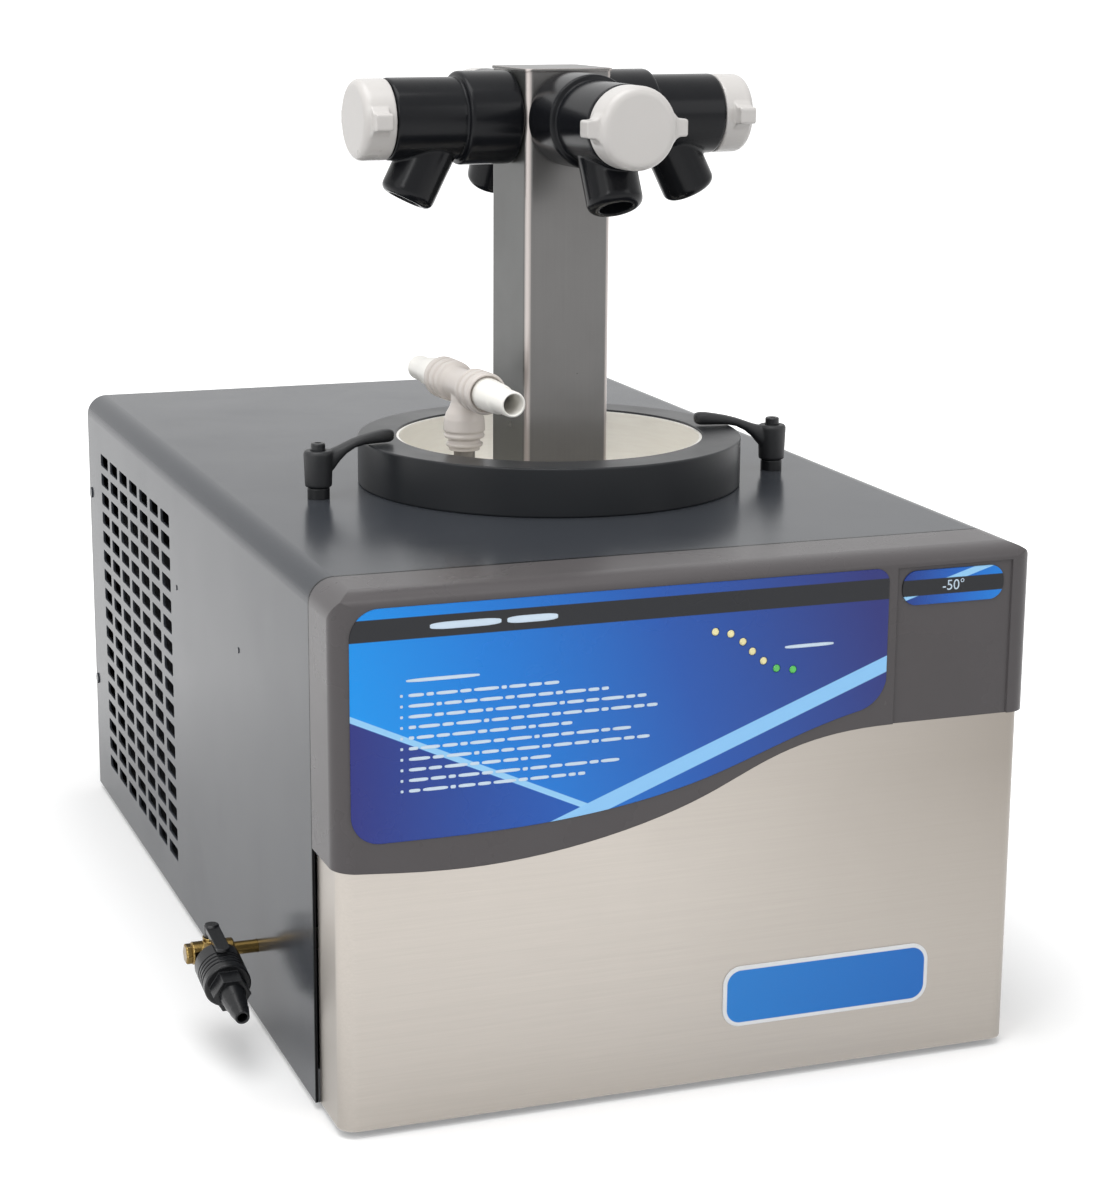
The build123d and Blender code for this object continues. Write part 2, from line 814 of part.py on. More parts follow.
with BuildPart() as lid_ring:
    with BuildSketch(trap_side):
        with BuildLine():
            Polyline(
                (dish_outer_radius, gasket_top_z),
                (flange_radius + sheet_gap, gasket_top_z),
                (flange_radius + sheet_gap, cabinet_height),
                (ring_outer_radius, cabinet_height),
                (ring_outer_radius, ring_top_z),
                (dish_outer_radius, ring_top_z),
                close=True,
            )
        make_face()
    revolve(axis=trap_axis)
    fillet(lid_ring.edges().group_by(Axis.Z)[-1], ring_edge)
    fillet(lid_ring.edges().group_by(Axis.Z)[0].sort_by(SortBy.RADIUS)[-1], ring_edge)
write(lid_ring, "lid_ring")

column_inner = column_side - 2 * column_wall
with BuildPart() as lid_dish:
    with BuildSketch(trap_side):
        with BuildLine():
            Polyline(
                (0, dish_floor_top_z - dish_floor),
                (dish_outer_radius, dish_floor_top_z - dish_floor),
                (dish_outer_radius, ring_top_z - ring_edge),
                (dish_inner_radius, ring_top_z - ring_edge),
                (dish_inner_radius, dish_floor_top_z),
                (0, dish_floor_top_z),
                close=True,
            )
        make_face()
    revolve(axis=trap_axis)
    with BuildSketch(lid_base.offset(-dish_floor_below_top)):
        with Locations((tee_x, tee_y)):
            Circle(stub_radius)
    extrude(amount=dish_floor_below_top + tee_height - tee_collar_start)
    with BuildSketch(lid_base.offset(tee_height)):
        Rectangle(column_inner, column_inner)
        with Locations((tee_x, tee_y)):
            Circle(stub_radius - stub_wall)
    extrude(amount=-tee_height - cabinet_height / 2, mode=Mode.SUBTRACT)
write(lid_dish, "lid_dish")

# ---- lid: manifold column ------------------------------------------------------------
sides = {"right": 0.0, "back": 90.0, "left": 180.0, "front": 270.0}
spindle_z = cabinet_height + valve_axis_height


def spindle_plane(angle):
    """Local X runs outwards along one sample valve's axis, local Y runs up."""
    heading = radians(lid_turn + angle)
    outward = Vector(cos(heading), sin(heading), 0)
    return Plane(
        origin=(trap_x, trap_y, spindle_z), x_dir=outward, z_dir=outward.cross(up)
    )


def across_spindle(angle, distance):
    """A sketch plane square to a valve's axis: local X is horizontal, local Y runs up."""
    along = spindle_plane(angle)
    return Plane(
        origin=along.from_local_coords((distance, 0, 0)),
        x_dir=-along.z_dir,
        z_dir=along.x_dir,
    )


with BuildPart() as manifold_column:
    with BuildSketch(lid_base.offset(-dish_floor_below_top)):
        RectangleRounded(column_side, column_side, column_corner)
        RectangleRounded(
            column_inner, column_inner, column_corner - column_wall, mode=Mode.SUBTRACT
        )
    extrude(amount=dish_floor_below_top + column_cap_z)
    with BuildSketch(lid_base.offset(column_cap_z)):
        RectangleRounded(
            column_side + 2 * column_cap_overhang,
            column_side + 2 * column_cap_overhang,
            column_corner,
        )
    extrude(amount=column_cap_thickness)
    for angle in sides.values():
        with BuildSketch(across_spindle(angle, 0)):
            Circle(nipple_radius - nipple_wall)
        extrude(amount=column_side, mode=Mode.SUBTRACT)
write(manifold_column, "manifold_column")

column_face = column_side / 2
with BuildPart() as column_nipples:
    for angle in sides.values():
        with BuildSketch(across_spindle(angle, column_face)):
            Circle(nipple_radius)
            Circle(nipple_radius - nipple_wall, mode=Mode.SUBTRACT)
        extrude(amount=nipple_end - column_face)
write(column_nipples, "column_nipples")

# ---- sample valves -------------------------------------------------------------------
plug_radius = valve_bore_radius - plug_clearance
port_lean = radians(port_tilt)
shoulder_step = abs(valve_shoulder_radius - valve_body_radius)
shoulder_round = min(valve_shoulder_round, shoulder_step / 2)
for side, angle in sides.items():
    along = spindle_plane(angle)
    spindle = Axis(along.origin, along.x_dir)
    port = Plane(
        origin=along.from_local_coords((port_start, 0, 0)),
        x_dir=along.z_dir,
        z_dir=along.x_dir * sin(port_lean) - along.y_dir * cos(port_lean),
    )
    with BuildPart() as valve_body:
        with BuildSketch(along) as valve_profile:
            with BuildLine():
                Polyline(
                    (column_face, 0),
                    (column_face, valve_shoulder_radius),
                    (valve_shoulder_end, valve_shoulder_radius),
                    (valve_shoulder_end, valve_body_radius),
                    (valve_body_end, valve_body_radius),
                    (valve_body_end, 0),
                    close=True,
                )
            make_face()
            corners = valve_profile.vertices().group_by(Axis.X)
            shoulder_corners = [corners[0].sort_by(Axis.Y)[-1], corners[1].sort_by(Axis.Y)[-1]]
            fillet(shoulder_corners, shoulder_round)
            fillet(valve_profile.vertices().group_by(Axis.X)[-1].sort_by(Axis.Y)[-1], valve_end_round)
        revolve(axis=spindle)
        with BuildSketch(port):
            Circle(port_radius)
        extrude(amount=port_length)
        fillet(valve_body.faces().sort_by(Axis(port.origin, port.z_dir))[-1].edges(), port_round)
        with BuildSketch(along):
            with BuildLine():
                Polyline(
                    (column_face, 0),
                    (column_face, nipple_radius + nipple_gap),
                    (nipple_end, nipple_radius + nipple_gap),
                    (nipple_end, valve_bore_radius),
                    (valve_body_end, valve_bore_radius),
                    (valve_body_end, 0),
                    close=True,
                )
            make_face()
        revolve(axis=spindle, mode=Mode.SUBTRACT)
        with BuildSketch(port):
            Circle(port_bore_radius)
        extrude(amount=port_length, mode=Mode.SUBTRACT)
    write(valve_body, f"valve_body_{side}")

    knob_start = valve_body_end + knob_gap
    with BuildPart() as valve_knob:
        with BuildSketch(across_spindle(angle, knob_start + knob_wing_gap)):
            RectangleRounded(knob_wing_span, knob_wing_height, knob_wing_round)
        extrude(amount=knob_wing_length)
        with BuildSketch(along) as knob_profile:
            with BuildLine():
                Polyline(
                    (plug_start, 0),
                    (plug_start, plug_radius),
                    (knob_start, plug_radius),
                    (knob_start, knob_radius),
                    (knob_end, knob_radius),
                    (knob_end, 0),
                    close=True,
                )
            make_face()
            fillet(knob_profile.vertices().group_by(Axis.X)[-1].sort_by(Axis.Y)[-1], knob_edge_round)
        revolve(axis=spindle)
        with BuildSketch(across_spindle(angle, plug_start)):
            Circle(plug_radius - plug_wall)
        extrude(amount=valve_body_end - plug_start - plug_wall, mode=Mode.SUBTRACT)
        with BuildSketch(port):
            Circle(port_bore_radius + plug_port_margin)
        extrude(amount=port_length, mode=Mode.SUBTRACT)
    write(valve_knob, f"valve_knob_{side}")

# ---- vacuum tee ----------------------------------------------------------------------
tee_centre = lid_base.from_local_coords((tee_x, tee_y, tee_height))
tee_front = -lid_base.y_dir
tee_outlets = (
    Plane(origin=tee_centre, x_dir=lid_base.x_dir, z_dir=tee_front),
    Plane(origin=tee_centre, x_dir=lid_base.x_dir, z_dir=-tee_front),
    Plane(origin=tee_centre, x_dir=lid_base.x_dir, z_dir=-up),
)
groove_start = tee_arm - tee_groove_from_end
collar_profile = (
    (tee_collar_start, 0),
    (tee_collar_start, tee_leg_radius),
    (tee_collar_start + tee_collar_flare / 2, tee_collar_radius - tee_lip_depth),
    (tee_collar_start + tee_collar_flare, tee_collar_radius),
    (groove_start, tee_collar_radius),
    (groove_start + tee_groove_width / 2, tee_collar_radius - tee_groove_depth),
    (groove_start + tee_groove_width, tee_collar_radius),
    (tee_arm - tee_lip_length, tee_collar_radius),
    (tee_arm, tee_collar_radius - tee_lip_depth),
    (tee_arm, 0),
)
with BuildPart() as tee_body:
    for outlet in tee_outlets:
        with BuildSketch(outlet):
            Circle(tee_leg_radius if outlet is tee_outlets[2] else tee_run_radius)
        extrude(amount=tee_collar_start + tee_collar_flare / 2)
        outlet_side = Plane(origin=outlet.origin, x_dir=outlet.z_dir, z_dir=outlet.x_dir)
        with BuildSketch(outlet_side):
            with BuildLine():
                Polyline(*collar_profile, close=True)
            make_face()
        revolve(axis=Axis(outlet.origin, outlet.z_dir))
    for outlet in tee_outlets:
        with BuildSketch(outlet):
            Circle(tee_passage_radius)
        extrude(amount=tee_arm, mode=Mode.SUBTRACT)
        with BuildSketch(outlet.offset(tee_collar_start)):
            Circle(tee_bore_radius)
        extrude(amount=tee_arm, mode=Mode.SUBTRACT)
write(tee_body, "tee_body")

with BuildPart() as tee_collets:
    for outlet in tee_outlets:
        with BuildSketch(outlet.offset(tee_arm)):
            Circle(collet_radius)
            Circle(tee_bore_radius, mode=Mode.SUBTRACT)
        extrude(amount=collet_length)
write(tee_collets, "tee_collets")

barb_start = tee_arm + collet_length
with BuildPart() as hose_barbs:
    for outlet in tee_outlets[:2]:
        outlet_side = Plane(origin=outlet.origin, x_dir=outlet.z_dir, z_dir=outlet.x_dir)
        with BuildSketch(outlet_side):
            with BuildLine():
                Polyline(
                    (tee_collar_start, tee_passage_radius),
                    (tee_collar_start, barb_stem_radius),
                    (barb_start, barb_stem_radius),
                    (barb_start, barb_shoulder_radius),
                    (barb_shoulder_end, barb_shoulder_radius - barb_edge),
                    (barb_shoulder_end + barb_ramp, barb_tip_radius),
                    (barb_end - barb_edge, barb_tip_radius),
                    (barb_end, barb_tip_radius - barb_edge),
                    (barb_end, tee_passage_radius),
                    close=True,
                )
            make_face()
        revolve(axis=Axis(outlet.origin, outlet.z_dir))
write(hose_barbs, "hose_barbs")

# ---- clamps --------------------------------------------------------------------------
arm_floor = ring_height + clamp_tip_gap
pad_start = clamp_arm_length - clamp_arm_pad_length
hub_bottom = clamp_collar_height + clamp_clearance
hub_bore_radius = clamp_insert_radius + clamp_clearance
with BuildPart() as clamp_posts:
    with BuildSketch(Plane.XY.offset(cabinet_height)):
        with Locations(clamp_left_xy, clamp_right_xy):
            Circle(clamp_collar_radius)
    extrude(amount=clamp_collar_height)
    chamfer(clamp_posts.edges().group_by(Axis.Z)[-1], clamp_edge)
    with BuildSketch(Plane.XY.offset(cabinet_height)):
        with Locations(clamp_left_xy, clamp_right_xy):
            Circle(clamp_stud_radius)
    extrude(amount=-clamp_stud_below)
write(clamp_posts, "clamp_posts")

for side, pivot, aim in (
    ("left", clamp_left_xy, clamp_left_aim),
    ("right", clamp_right_xy, clamp_right_aim),
):
    heading = radians(aim)
    reach = Vector(cos(heading), sin(heading), 0)
    arm_side = Plane(
        origin=(*pivot, cabinet_height), x_dir=reach, z_dir=reach.cross(up)
    )
    arm_plan = Plane(origin=(*pivot, cabinet_height), x_dir=reach, z_dir=(0, 0, 1))
    pivot_axis = Axis(arm_plan.origin, (0, 0, 1))

    with BuildPart() as clamp_insert:
        with BuildSketch(arm_side):
            with BuildLine():
                Polyline(
                    (0, hub_bottom),
                    (clamp_insert_radius, hub_bottom),
                    (clamp_insert_radius, clamp_insert_top),
                    (0, clamp_insert_top),
                    close=True,
                )
            make_face()
        revolve(axis=pivot_axis)
        with BuildSketch(arm_plan.offset(clamp_insert_top)):
            Circle(clamp_screw_radius)
        extrude(amount=-clamp_insert_top + hub_bottom, mode=Mode.SUBTRACT)
    write(clamp_insert, f"clamp_insert_{side}")

    head_bottom = clamp_screw_head_top - clamp_screw_head_height
    with BuildPart() as clamp_screw:
        with BuildSketch(arm_plan.offset(head_bottom)):
            Circle(clamp_screw_head_radius)
        extrude(amount=clamp_screw_head_height)
        chamfer(clamp_screw.edges().group_by(Axis.Z)[-1], clamp_edge)
        with BuildSketch(arm_plan.offset(head_bottom)):
            Circle(clamp_screw_radius)
        extrude(amount=hub_bottom - head_bottom)
        with BuildSketch(arm_plan.offset(clamp_screw_head_top)):
            RegularPolygon(clamp_screw_head_radius * 0.55, 6)
        extrude(amount=-clamp_screw_head_height / 2, mode=Mode.SUBTRACT)
    write(clamp_screw, f"clamp_screw_{side}")

    shoulder_top = clamp_insert_top + clamp_lift / 2
    with BuildPart() as clamp_handle:
        with BuildSketch(arm_side):
            with BuildLine():
                under = Spline(
                    (clamp_hub_radius / 2, clamp_insert_top + clamp_edge),
                    (pad_start * clamp_arm_sag_share, arm_floor - clamp_arm_sag),
                    (pad_start, arm_floor),
                    tangents=((1, 0.2), (1, 0)),
                )
                Line(under @ 1, (clamp_arm_length, arm_floor))
                Line(
                    (clamp_arm_length, arm_floor),
                    (clamp_arm_length, arm_floor + clamp_arm_tip_depth),
                )
                over = Spline(
                    (clamp_arm_length, arm_floor + clamp_arm_tip_depth),
                    (pad_start, arm_floor + clamp_arm_mid_depth),
                    (clamp_hub_radius * 0.8, clamp_hub_top - clamp_edge),
                    tangents=((-1, 0), (-1, -0.35)),
                )
                Line(over @ 1, under @ 0)
            make_face()
        extrude(amount=clamp_arm_width / 2, both=True)
        with BuildSketch(arm_plan.offset(hub_bottom)):
            with BuildLine():
                heel = clamp_hub_radius - clamp_arm_waist
                tip_half = clamp_arm_width / 2
                waist_half = clamp_arm_width / 2 - clamp_arm_waist
                Line((0, -heel), (0, heel))
                flank = Spline(
                    (0, heel),
                    (clamp_arm_length * clamp_arm_waist_share, waist_half),
                    (clamp_arm_length - tip_half, tip_half),
                    tangents=((1, -0.1), (1, 0)),
                )
                nose = ThreePointArc(
                    flank @ 1, (clamp_arm_length, 0), (clamp_arm_length - tip_half, -tip_half)
                )
                Spline(
                    nose @ 1,
                    (clamp_arm_length * clamp_arm_waist_share, -waist_half),
                    (0, -heel),
                    tangents=((-1, 0), (-1, -0.1)),
                )
            make_face()
        extrude(amount=ring_height + clamp_hub_top, mode=Mode.INTERSECT)
        with BuildSketch(arm_plan.offset(hub_bottom)):
            Circle(clamp_hub_radius)
        extrude(amount=clamp_hub_top - hub_bottom)
        with BuildSketch(arm_plan.offset(hub_bottom)):
            Circle(hub_bore_radius)
        extrude(amount=clamp_insert_top - hub_bottom + clamp_clearance, mode=Mode.SUBTRACT)
        with BuildSketch(arm_plan.offset(hub_bottom)):
            Circle(clamp_screw_radius + clamp_clearance)
        extrude(amount=clamp_hub_top, mode=Mode.SUBTRACT)
        with BuildSketch(arm_plan.offset(shoulder_top)):
            Circle(clamp_screw_head_radius + clamp_clearance)
        extrude(amount=clamp_hub_top, mode=Mode.SUBTRACT)
    write(clamp_handle, f"clamp_handle_{side}")

    spring_end_gap = clamp_spring_wire + clamp_spring_gap
    spring_bottom = shoulder_top + spring_end_gap
    spring_height = head_bottom - spring_end_gap - spring_bottom
    spring_radius = (clamp_screw_radius + clamp_screw_head_radius + clamp_clearance) / 2
    with BuildPart() as clamp_spring:
        with BuildLine(arm_plan.offset(spring_bottom)) as spring_path:
            Helix(
                pitch=spring_height / clamp_spring_turns,
                height=spring_height,
                radius=spring_radius,
            )
        with BuildSketch(Plane(origin=spring_path.line @ 0, z_dir=spring_path.line % 0)):
            Circle(clamp_spring_wire)
        sweep(path=spring_path.line, is_frenet=True)
    write(clamp_spring, f"clamp_spring_{side}")

# ---- drain: hose, pipe and valve -----------------------------------------------------
drain_x = -cabinet_width / 2 - drain_reach
drain_centre = Vector(drain_x, drain_y, drain_z)
body_right_x = drain_x + drain_body_length / 2
body_left_x = drain_x - drain_body_length / 2
pipe_inner_x = -cover_inner_x + hose_overlap + hose_grip
pipe_outer_x = body_right_x - drain_body_length / 4
with BuildPart() as drain_hose:
    with BuildLine() as hose_path:
        FilletPolyline(
            (trap_x, trap_y, chamber_bottom_z - sheet_gap),
            (trap_x, trap_y, drain_z),
            (trap_x, drain_y, drain_z),
            (pipe_inner_x - hose_overlap, drain_y, drain_z),
            radius=hose_bend,
        )
    with BuildSketch(Plane(origin=hose_path.line @ 0, z_dir=hose_path.line % 0)):
        Circle(hose_radius)
        Circle(hose_bore, mode=Mode.SUBTRACT)
    sweep(path=hose_path.line)
write(drain_hose, "drain_hose")

with BuildPart() as drain_pipe:
    with BuildSketch(facing_right(pipe_outer_x)):
        with Locations((drain_y, drain_z)):
            Circle(drain_pipe_radius)
            Circle(drain_pipe_radius - drain_pipe_wall, mode=Mode.SUBTRACT)
    extrude(amount=pipe_inner_x - pipe_outer_x)
write(drain_pipe, "drain_pipe")

fall = radians(drain_tilt)
outlet_run = Plane(
    origin=drain_centre, x_dir=(1, 0, 0), z_dir=(0, -cos(fall), -sin(fall))
)
outlet_side = Plane(origin=drain_centre, x_dir=outlet_run.z_dir, z_dir=outlet_run.x_dir)
outlet_axis = Axis(drain_centre, outlet_run.z_dir)
stem_plane = Plane(origin=drain_centre)
stem_radius = drain_post_radius / 2
stem_bottom = drain_boss_height - drain_stem_depth
with BuildPart() as drain_valve_body:
    with BuildSketch(facing_right(body_left_x)):
        with Locations((drain_y, drain_z)):
            Circle(drain_body_radius)
    extrude(amount=drain_body_length)
    chamfer(drain_valve_body.edges().filter_by(GeomType.CIRCLE), drain_edge)
    with BuildSketch(stem_plane):
        Circle(drain_boss_radius)
    extrude(amount=drain_boss_height)
    with BuildSketch(outlet_run):
        Circle(drain_outlet_radius)
    extrude(amount=drain_outlet_end)
    with BuildSketch(facing_right(drain_x)):
        with Locations((drain_y, drain_z)):
            Circle(drain_barb_bore)
    extrude(amount=drain_body_length, mode=Mode.SUBTRACT)
    with BuildSketch(facing_right(pipe_outer_x)):
        with Locations((drain_y, drain_z)):
            Circle(drain_pipe_radius)
    extrude(amount=drain_body_length, mode=Mode.SUBTRACT)
    with BuildSketch(outlet_run):
        Circle(drain_barb_bore)
    extrude(amount=drain_outlet_end, mode=Mode.SUBTRACT)
    with BuildSketch(stem_plane.offset(stem_bottom)):
        Circle(stem_radius + drain_seat_gap / 2)
    extrude(amount=drain_boss_height, mode=Mode.SUBTRACT)
write(drain_valve_body, "drain_valve_body")

with BuildPart() as drain_end_cap:
    with BuildSketch(facing_right(body_left_x)):
        with Locations((drain_y, drain_z)):
            RegularPolygon(drain_body_radius - drain_edge, 6)
    extrude(amount=-drain_cap_length)
    chamfer(drain_end_cap.faces().sort_by(Axis.X)[0].edges(), drain_edge)
write(drain_end_cap, "drain_end_cap")

lever_base = drain_boss_height + drain_seat_gap
lever_tip = drain_lever_length + drain_post_radius
lever_tip_z = drain_post_top - drain_post_radius
with BuildPart() as drain_handle:
    with BuildSketch(stem_plane.offset(stem_bottom + drain_seat_gap)):
        Circle(stem_radius)
    extrude(amount=drain_boss_height - stem_bottom)
    with BuildSketch(stem_plane.offset(lever_base)):
        Circle(drain_post_radius)
    extrude(amount=drain_post_top - lever_base)
    chamfer(drain_handle.edges().group_by(Axis.Z)[-1], drain_edge)
    with BuildSketch(Plane(origin=drain_centre, x_dir=(0, -1, 0), z_dir=(-1, 0, 0))):
        with BuildLine():
            Polyline(
                (0, drain_post_top - drain_edge),
                (0, drain_post_top - drain_post_radius),
                (lever_tip, lever_tip_z - drain_lever_thickness),
                (lever_tip, lever_tip_z),
                close=True,
            )
        make_face()
    extrude(amount=drain_post_radius * 0.9, both=True)
    lever_ends = drain_handle.edges().filter_by(Axis.Z).group_by(Axis.Y)[0]
    fillet(lever_ends, drain_post_radius * 0.8)
write(drain_handle, "drain_handle")

barrel_length = drain_barrel_end - drain_outlet_end
rib_start = drain_outlet_end + barrel_length * drain_rib_start_share
rib_pitch = barrel_length * drain_rib_span_share / drain_rib_count
with BuildPart() as drain_barrel:
    with BuildSketch(outlet_side):
        with BuildLine():
            Polyline(
                (drain_outlet_end, 0),
                (drain_outlet_end, drain_barrel_radius - drain_edge),
                (drain_outlet_end + drain_edge, drain_barrel_radius),
                (drain_barrel_end - drain_edge, drain_barrel_radius),
                (drain_barrel_end, drain_barrel_radius - drain_edge),
                (drain_barrel_end, 0),
                close=True,
            )
        make_face()
    revolve(axis=outlet_axis)
    for groove in range(drain_rib_count):
        with BuildSketch(outlet_run.offset(rib_start + groove * rib_pitch)):
            Circle(drain_barrel_radius)
            Circle(drain_barrel_radius - drain_rib_depth, mode=Mode.SUBTRACT)
        extrude(amount=rib_pitch * drain_rib_width_share, mode=Mode.SUBTRACT)
    with BuildSketch(outlet_run.offset(drain_barrel_end)):
        RegularPolygon(drain_hex_across / 2, 6, major_radius=False)
    extrude(amount=drain_hex_end - drain_barrel_end)
    with BuildSketch(outlet_run):
        Circle(drain_barb_bore)
    extrude(amount=drain_hex_end, mode=Mode.SUBTRACT)
write(drain_barrel, "drain_barrel")

step_length = (drain_barb_end - drain_hex_end) / drain_barb_steps
with BuildPart() as drain_barb:
    for step in range(drain_barb_steps):
        step_start = drain_hex_end + step * step_length
        root_share = step / drain_barb_steps
        root = drain_barb_root_radius * (1 - root_share) + drain_barb_tip_radius * root_share
        with BuildSketch(outlet_side):
            with BuildLine():
                Polyline(
                    (step_start, drain_barb_bore),
                    (step_start, root),
                    (step_start + step_length, root - drain_barb_step_fall),
                    (step_start + step_length, drain_barb_bore),
                    close=True,
                )
            make_face()
        revolve(axis=outlet_axis)
write(drain_barb, "drain_barb")

# ---- refrigeration: compressor -------------------------------------------------------
compressor_top = compressor_stand + compressor_height
stub_top = compressor_top + compressor_stub
discharge_x = compressor_x - compressor_radius / 3
discharge_y = compressor_y + compressor_radius / 6
band_z = compressor_stand + compressor_height * 0.55
dome_inset = compressor_radius - compressor_dome
compressor_side = Plane(
    origin=(compressor_x, compressor_y, 0), x_dir=(0, -1, 0), z_dir=(-1, 0, 0)
)
with BuildPart() as compressor:
    with BuildSketch(compressor_side):
        with BuildLine():
            Line((0, compressor_stand), (dome_inset, compressor_stand))
            lower_dome = CenterArc(
                (dome_inset, compressor_stand + compressor_dome), compressor_dome, 270, 90
            )
            Polyline(
                lower_dome @ 1,
                (compressor_radius, band_z),
                (compressor_radius + compressor_band, band_z),
                (compressor_radius + compressor_band, band_z + compressor_band),
                (compressor_radius, band_z + compressor_band),
                (compressor_radius, compressor_top - compressor_dome),
            )
            upper_dome = CenterArc(
                (dome_inset, compressor_top - compressor_dome), compressor_dome, 0, 90
            )
            Polyline(upper_dome @ 1, (0, compressor_top), (0, compressor_stand))
        make_face()
    revolve(axis=Axis((compressor_x, compressor_y, 0), (0, 0, 1)))
    with BuildSketch(Plane.XY.offset(compressor_stand)):
        with Locations((compressor_x, compressor_y)):
            plate_side = mount_spacing + 2 * mount_radius
            RectangleRounded(plate_side, plate_side, mount_radius)
    extrude(amount=-compressor_plate)
    with BuildSketch(Plane.XY.offset(stub_top)):
        with Locations((coil_right_x, compressor_y), (discharge_x, discharge_y)):
            Circle(line_radius + line_stub_wall)
    extrude(amount=-compressor_dome)
write(compressor, "compressor")

with BuildPart() as compressor_mounts:
    with BuildSketch(Plane.XY.offset(sheet)):
        with Locations((compressor_x, compressor_y)):
            with GridLocations(mount_spacing, mount_spacing, 2, 2):
                Circle(mount_radius)
    extrude(amount=compressor_stand - compressor_plate - sheet)
write(compressor_mounts, "compressor_mounts")

# ---- refrigeration: condenser and fan ------------------------------------------------
condenser_mid_z = condenser_bottom + condenser_height / 2
condenser_front_y = louvre_mid_y - condenser_width / 2
condenser_right_x = condenser_x + condenser_depth / 2
pass_pitch = condenser_height / condenser_passes
pass_z = [condenser_bottom + pass_pitch * (k + 0.5) for k in range(condenser_passes)]
fin_pitch = condenser_width / fin_count
with BuildPart() as condenser_fins:
    with BuildSketch(facing_right(condenser_x)):
        with Locations((louvre_mid_y, condenser_mid_z)):
            Rectangle(condenser_width, condenser_height)
        with Locations((louvre_mid_y, condenser_bottom)):
            with GridLocations(condenser_width - fin_pitch, 1, 2, 1):
                Rectangle(fin_pitch, 2 * (condenser_bottom - sheet))
    extrude(amount=condenser_depth / 2, both=True)
    with BuildSketch(facing_right(condenser_x)):
        with Locations((louvre_mid_y, condenser_mid_z)):
            with GridLocations(fin_pitch, 1, fin_count - 1, 1):
                Rectangle(fin_groove, condenser_height)
    extrude(amount=condenser_depth / 2, both=True, mode=Mode.SUBTRACT)
    with BuildSketch(facing_right(condenser_x)):
        with Locations((louvre_mid_y, condenser_mid_z)):
            Rectangle(condenser_width, condenser_height)
    extrude(amount=fin_spine / 2, both=True)
    with BuildSketch(facing_front(condenser_front_y)):
        with Locations(*[(condenser_x, z) for z in pass_z]):
            Circle(condenser_tube_radius + sheet_gap)
    extrude(amount=-condenser_width, mode=Mode.SUBTRACT)
write(condenser_fins, "condenser_fins")

turn_front_y = condenser_front_y - pass_pitch / 2
turn_back_y = condenser_front_y + condenser_width + pass_pitch / 2
serpentine = []
for k, z in enumerate(pass_z):
    ends = (turn_front_y, turn_back_y) if k % 2 == 0 else (turn_back_y, turn_front_y)
    serpentine += [(condenser_x, y, z) for y in ends]
discharge_z = condenser_bottom + condenser_height + pass_pitch
crossing_y = condenser_front_y + pass_pitch
condenser_run = [(condenser_x, turn_front_y - line_radius, pass_z[0])]
condenser_run += serpentine[1:-1]
condenser_run += [
    (condenser_x, turn_front_y - line_radius, pass_z[-1]),
    (condenser_x, turn_front_y - line_radius, discharge_z),
    (condenser_x, crossing_y, discharge_z),
    (discharge_x, crossing_y, discharge_z),
    (discharge_x, discharge_y, discharge_z),
    (discharge_x, discharge_y, stub_top),
]
with BuildPart() as condenser_tube:
    with BuildLine() as condenser_path:
        FilletPolyline(*condenser_run, radius=pass_pitch * 0.48)
    with BuildSketch(Plane(origin=condenser_path.line @ 0, z_dir=condenser_path.line % 0)):
        Circle(condenser_tube_radius)
    sweep(path=condenser_path.line)
write(condenser_tube, "condenser_tube")

shroud_right_x = condenser_right_x + shroud_length
fan_opening = fan_radius + fan_tip_gap
with BuildPart() as fan_shroud:
    with BuildSketch(facing_right(condenser_right_x)):
        with Locations((louvre_mid_y, condenser_mid_z)):
            Rectangle(condenser_width, condenser_height)
    extrude(amount=shroud_length)
    with BuildSketch(facing_right(condenser_right_x)):
        with Locations((louvre_mid_y, condenser_mid_z)):
            Rectangle(condenser_width - 2 * shroud_wall, condenser_height - 2 * shroud_wall)
    extrude(amount=shroud_length - shroud_wall, mode=Mode.SUBTRACT)
    with BuildSketch(facing_right(shroud_right_x)):
        with Locations((louvre_mid_y, condenser_mid_z)):
            Circle(fan_opening)
    extrude(amount=-shroud_length, mode=Mode.SUBTRACT)
write(fan_shroud, "fan_shroud")

hub_left_x = shroud_right_x - fan_hub_length / 2
hub_right_x = hub_left_x + fan_hub_length
motor_left_x = hub_right_x + strut_width
with BuildPart() as fan_motor:
    with BuildSketch(facing_right(motor_left_x)):
        with Locations((louvre_mid_y, condenser_mid_z)):
            Circle(motor_radius)
    extrude(amount=motor_length)
    fillet(fan_motor.edges().filter_by(GeomType.CIRCLE), motor_radius / 7)
    with BuildSketch(facing_right(hub_left_x)):
        with Locations((louvre_mid_y, condenser_mid_z)):
            Circle(shaft_radius)
    extrude(amount=motor_left_x - hub_left_x)
    with BuildSketch(facing_right(motor_left_x + (motor_length - strut_width) / 2)):
        with Locations((louvre_mid_y, sheet)):
            Rectangle(
                motor_radius, condenser_mid_z - sheet, align=(Align.CENTER, Align.MIN)
            )
    extrude(amount=strut_width)
write(fan_motor, "fan_motor")

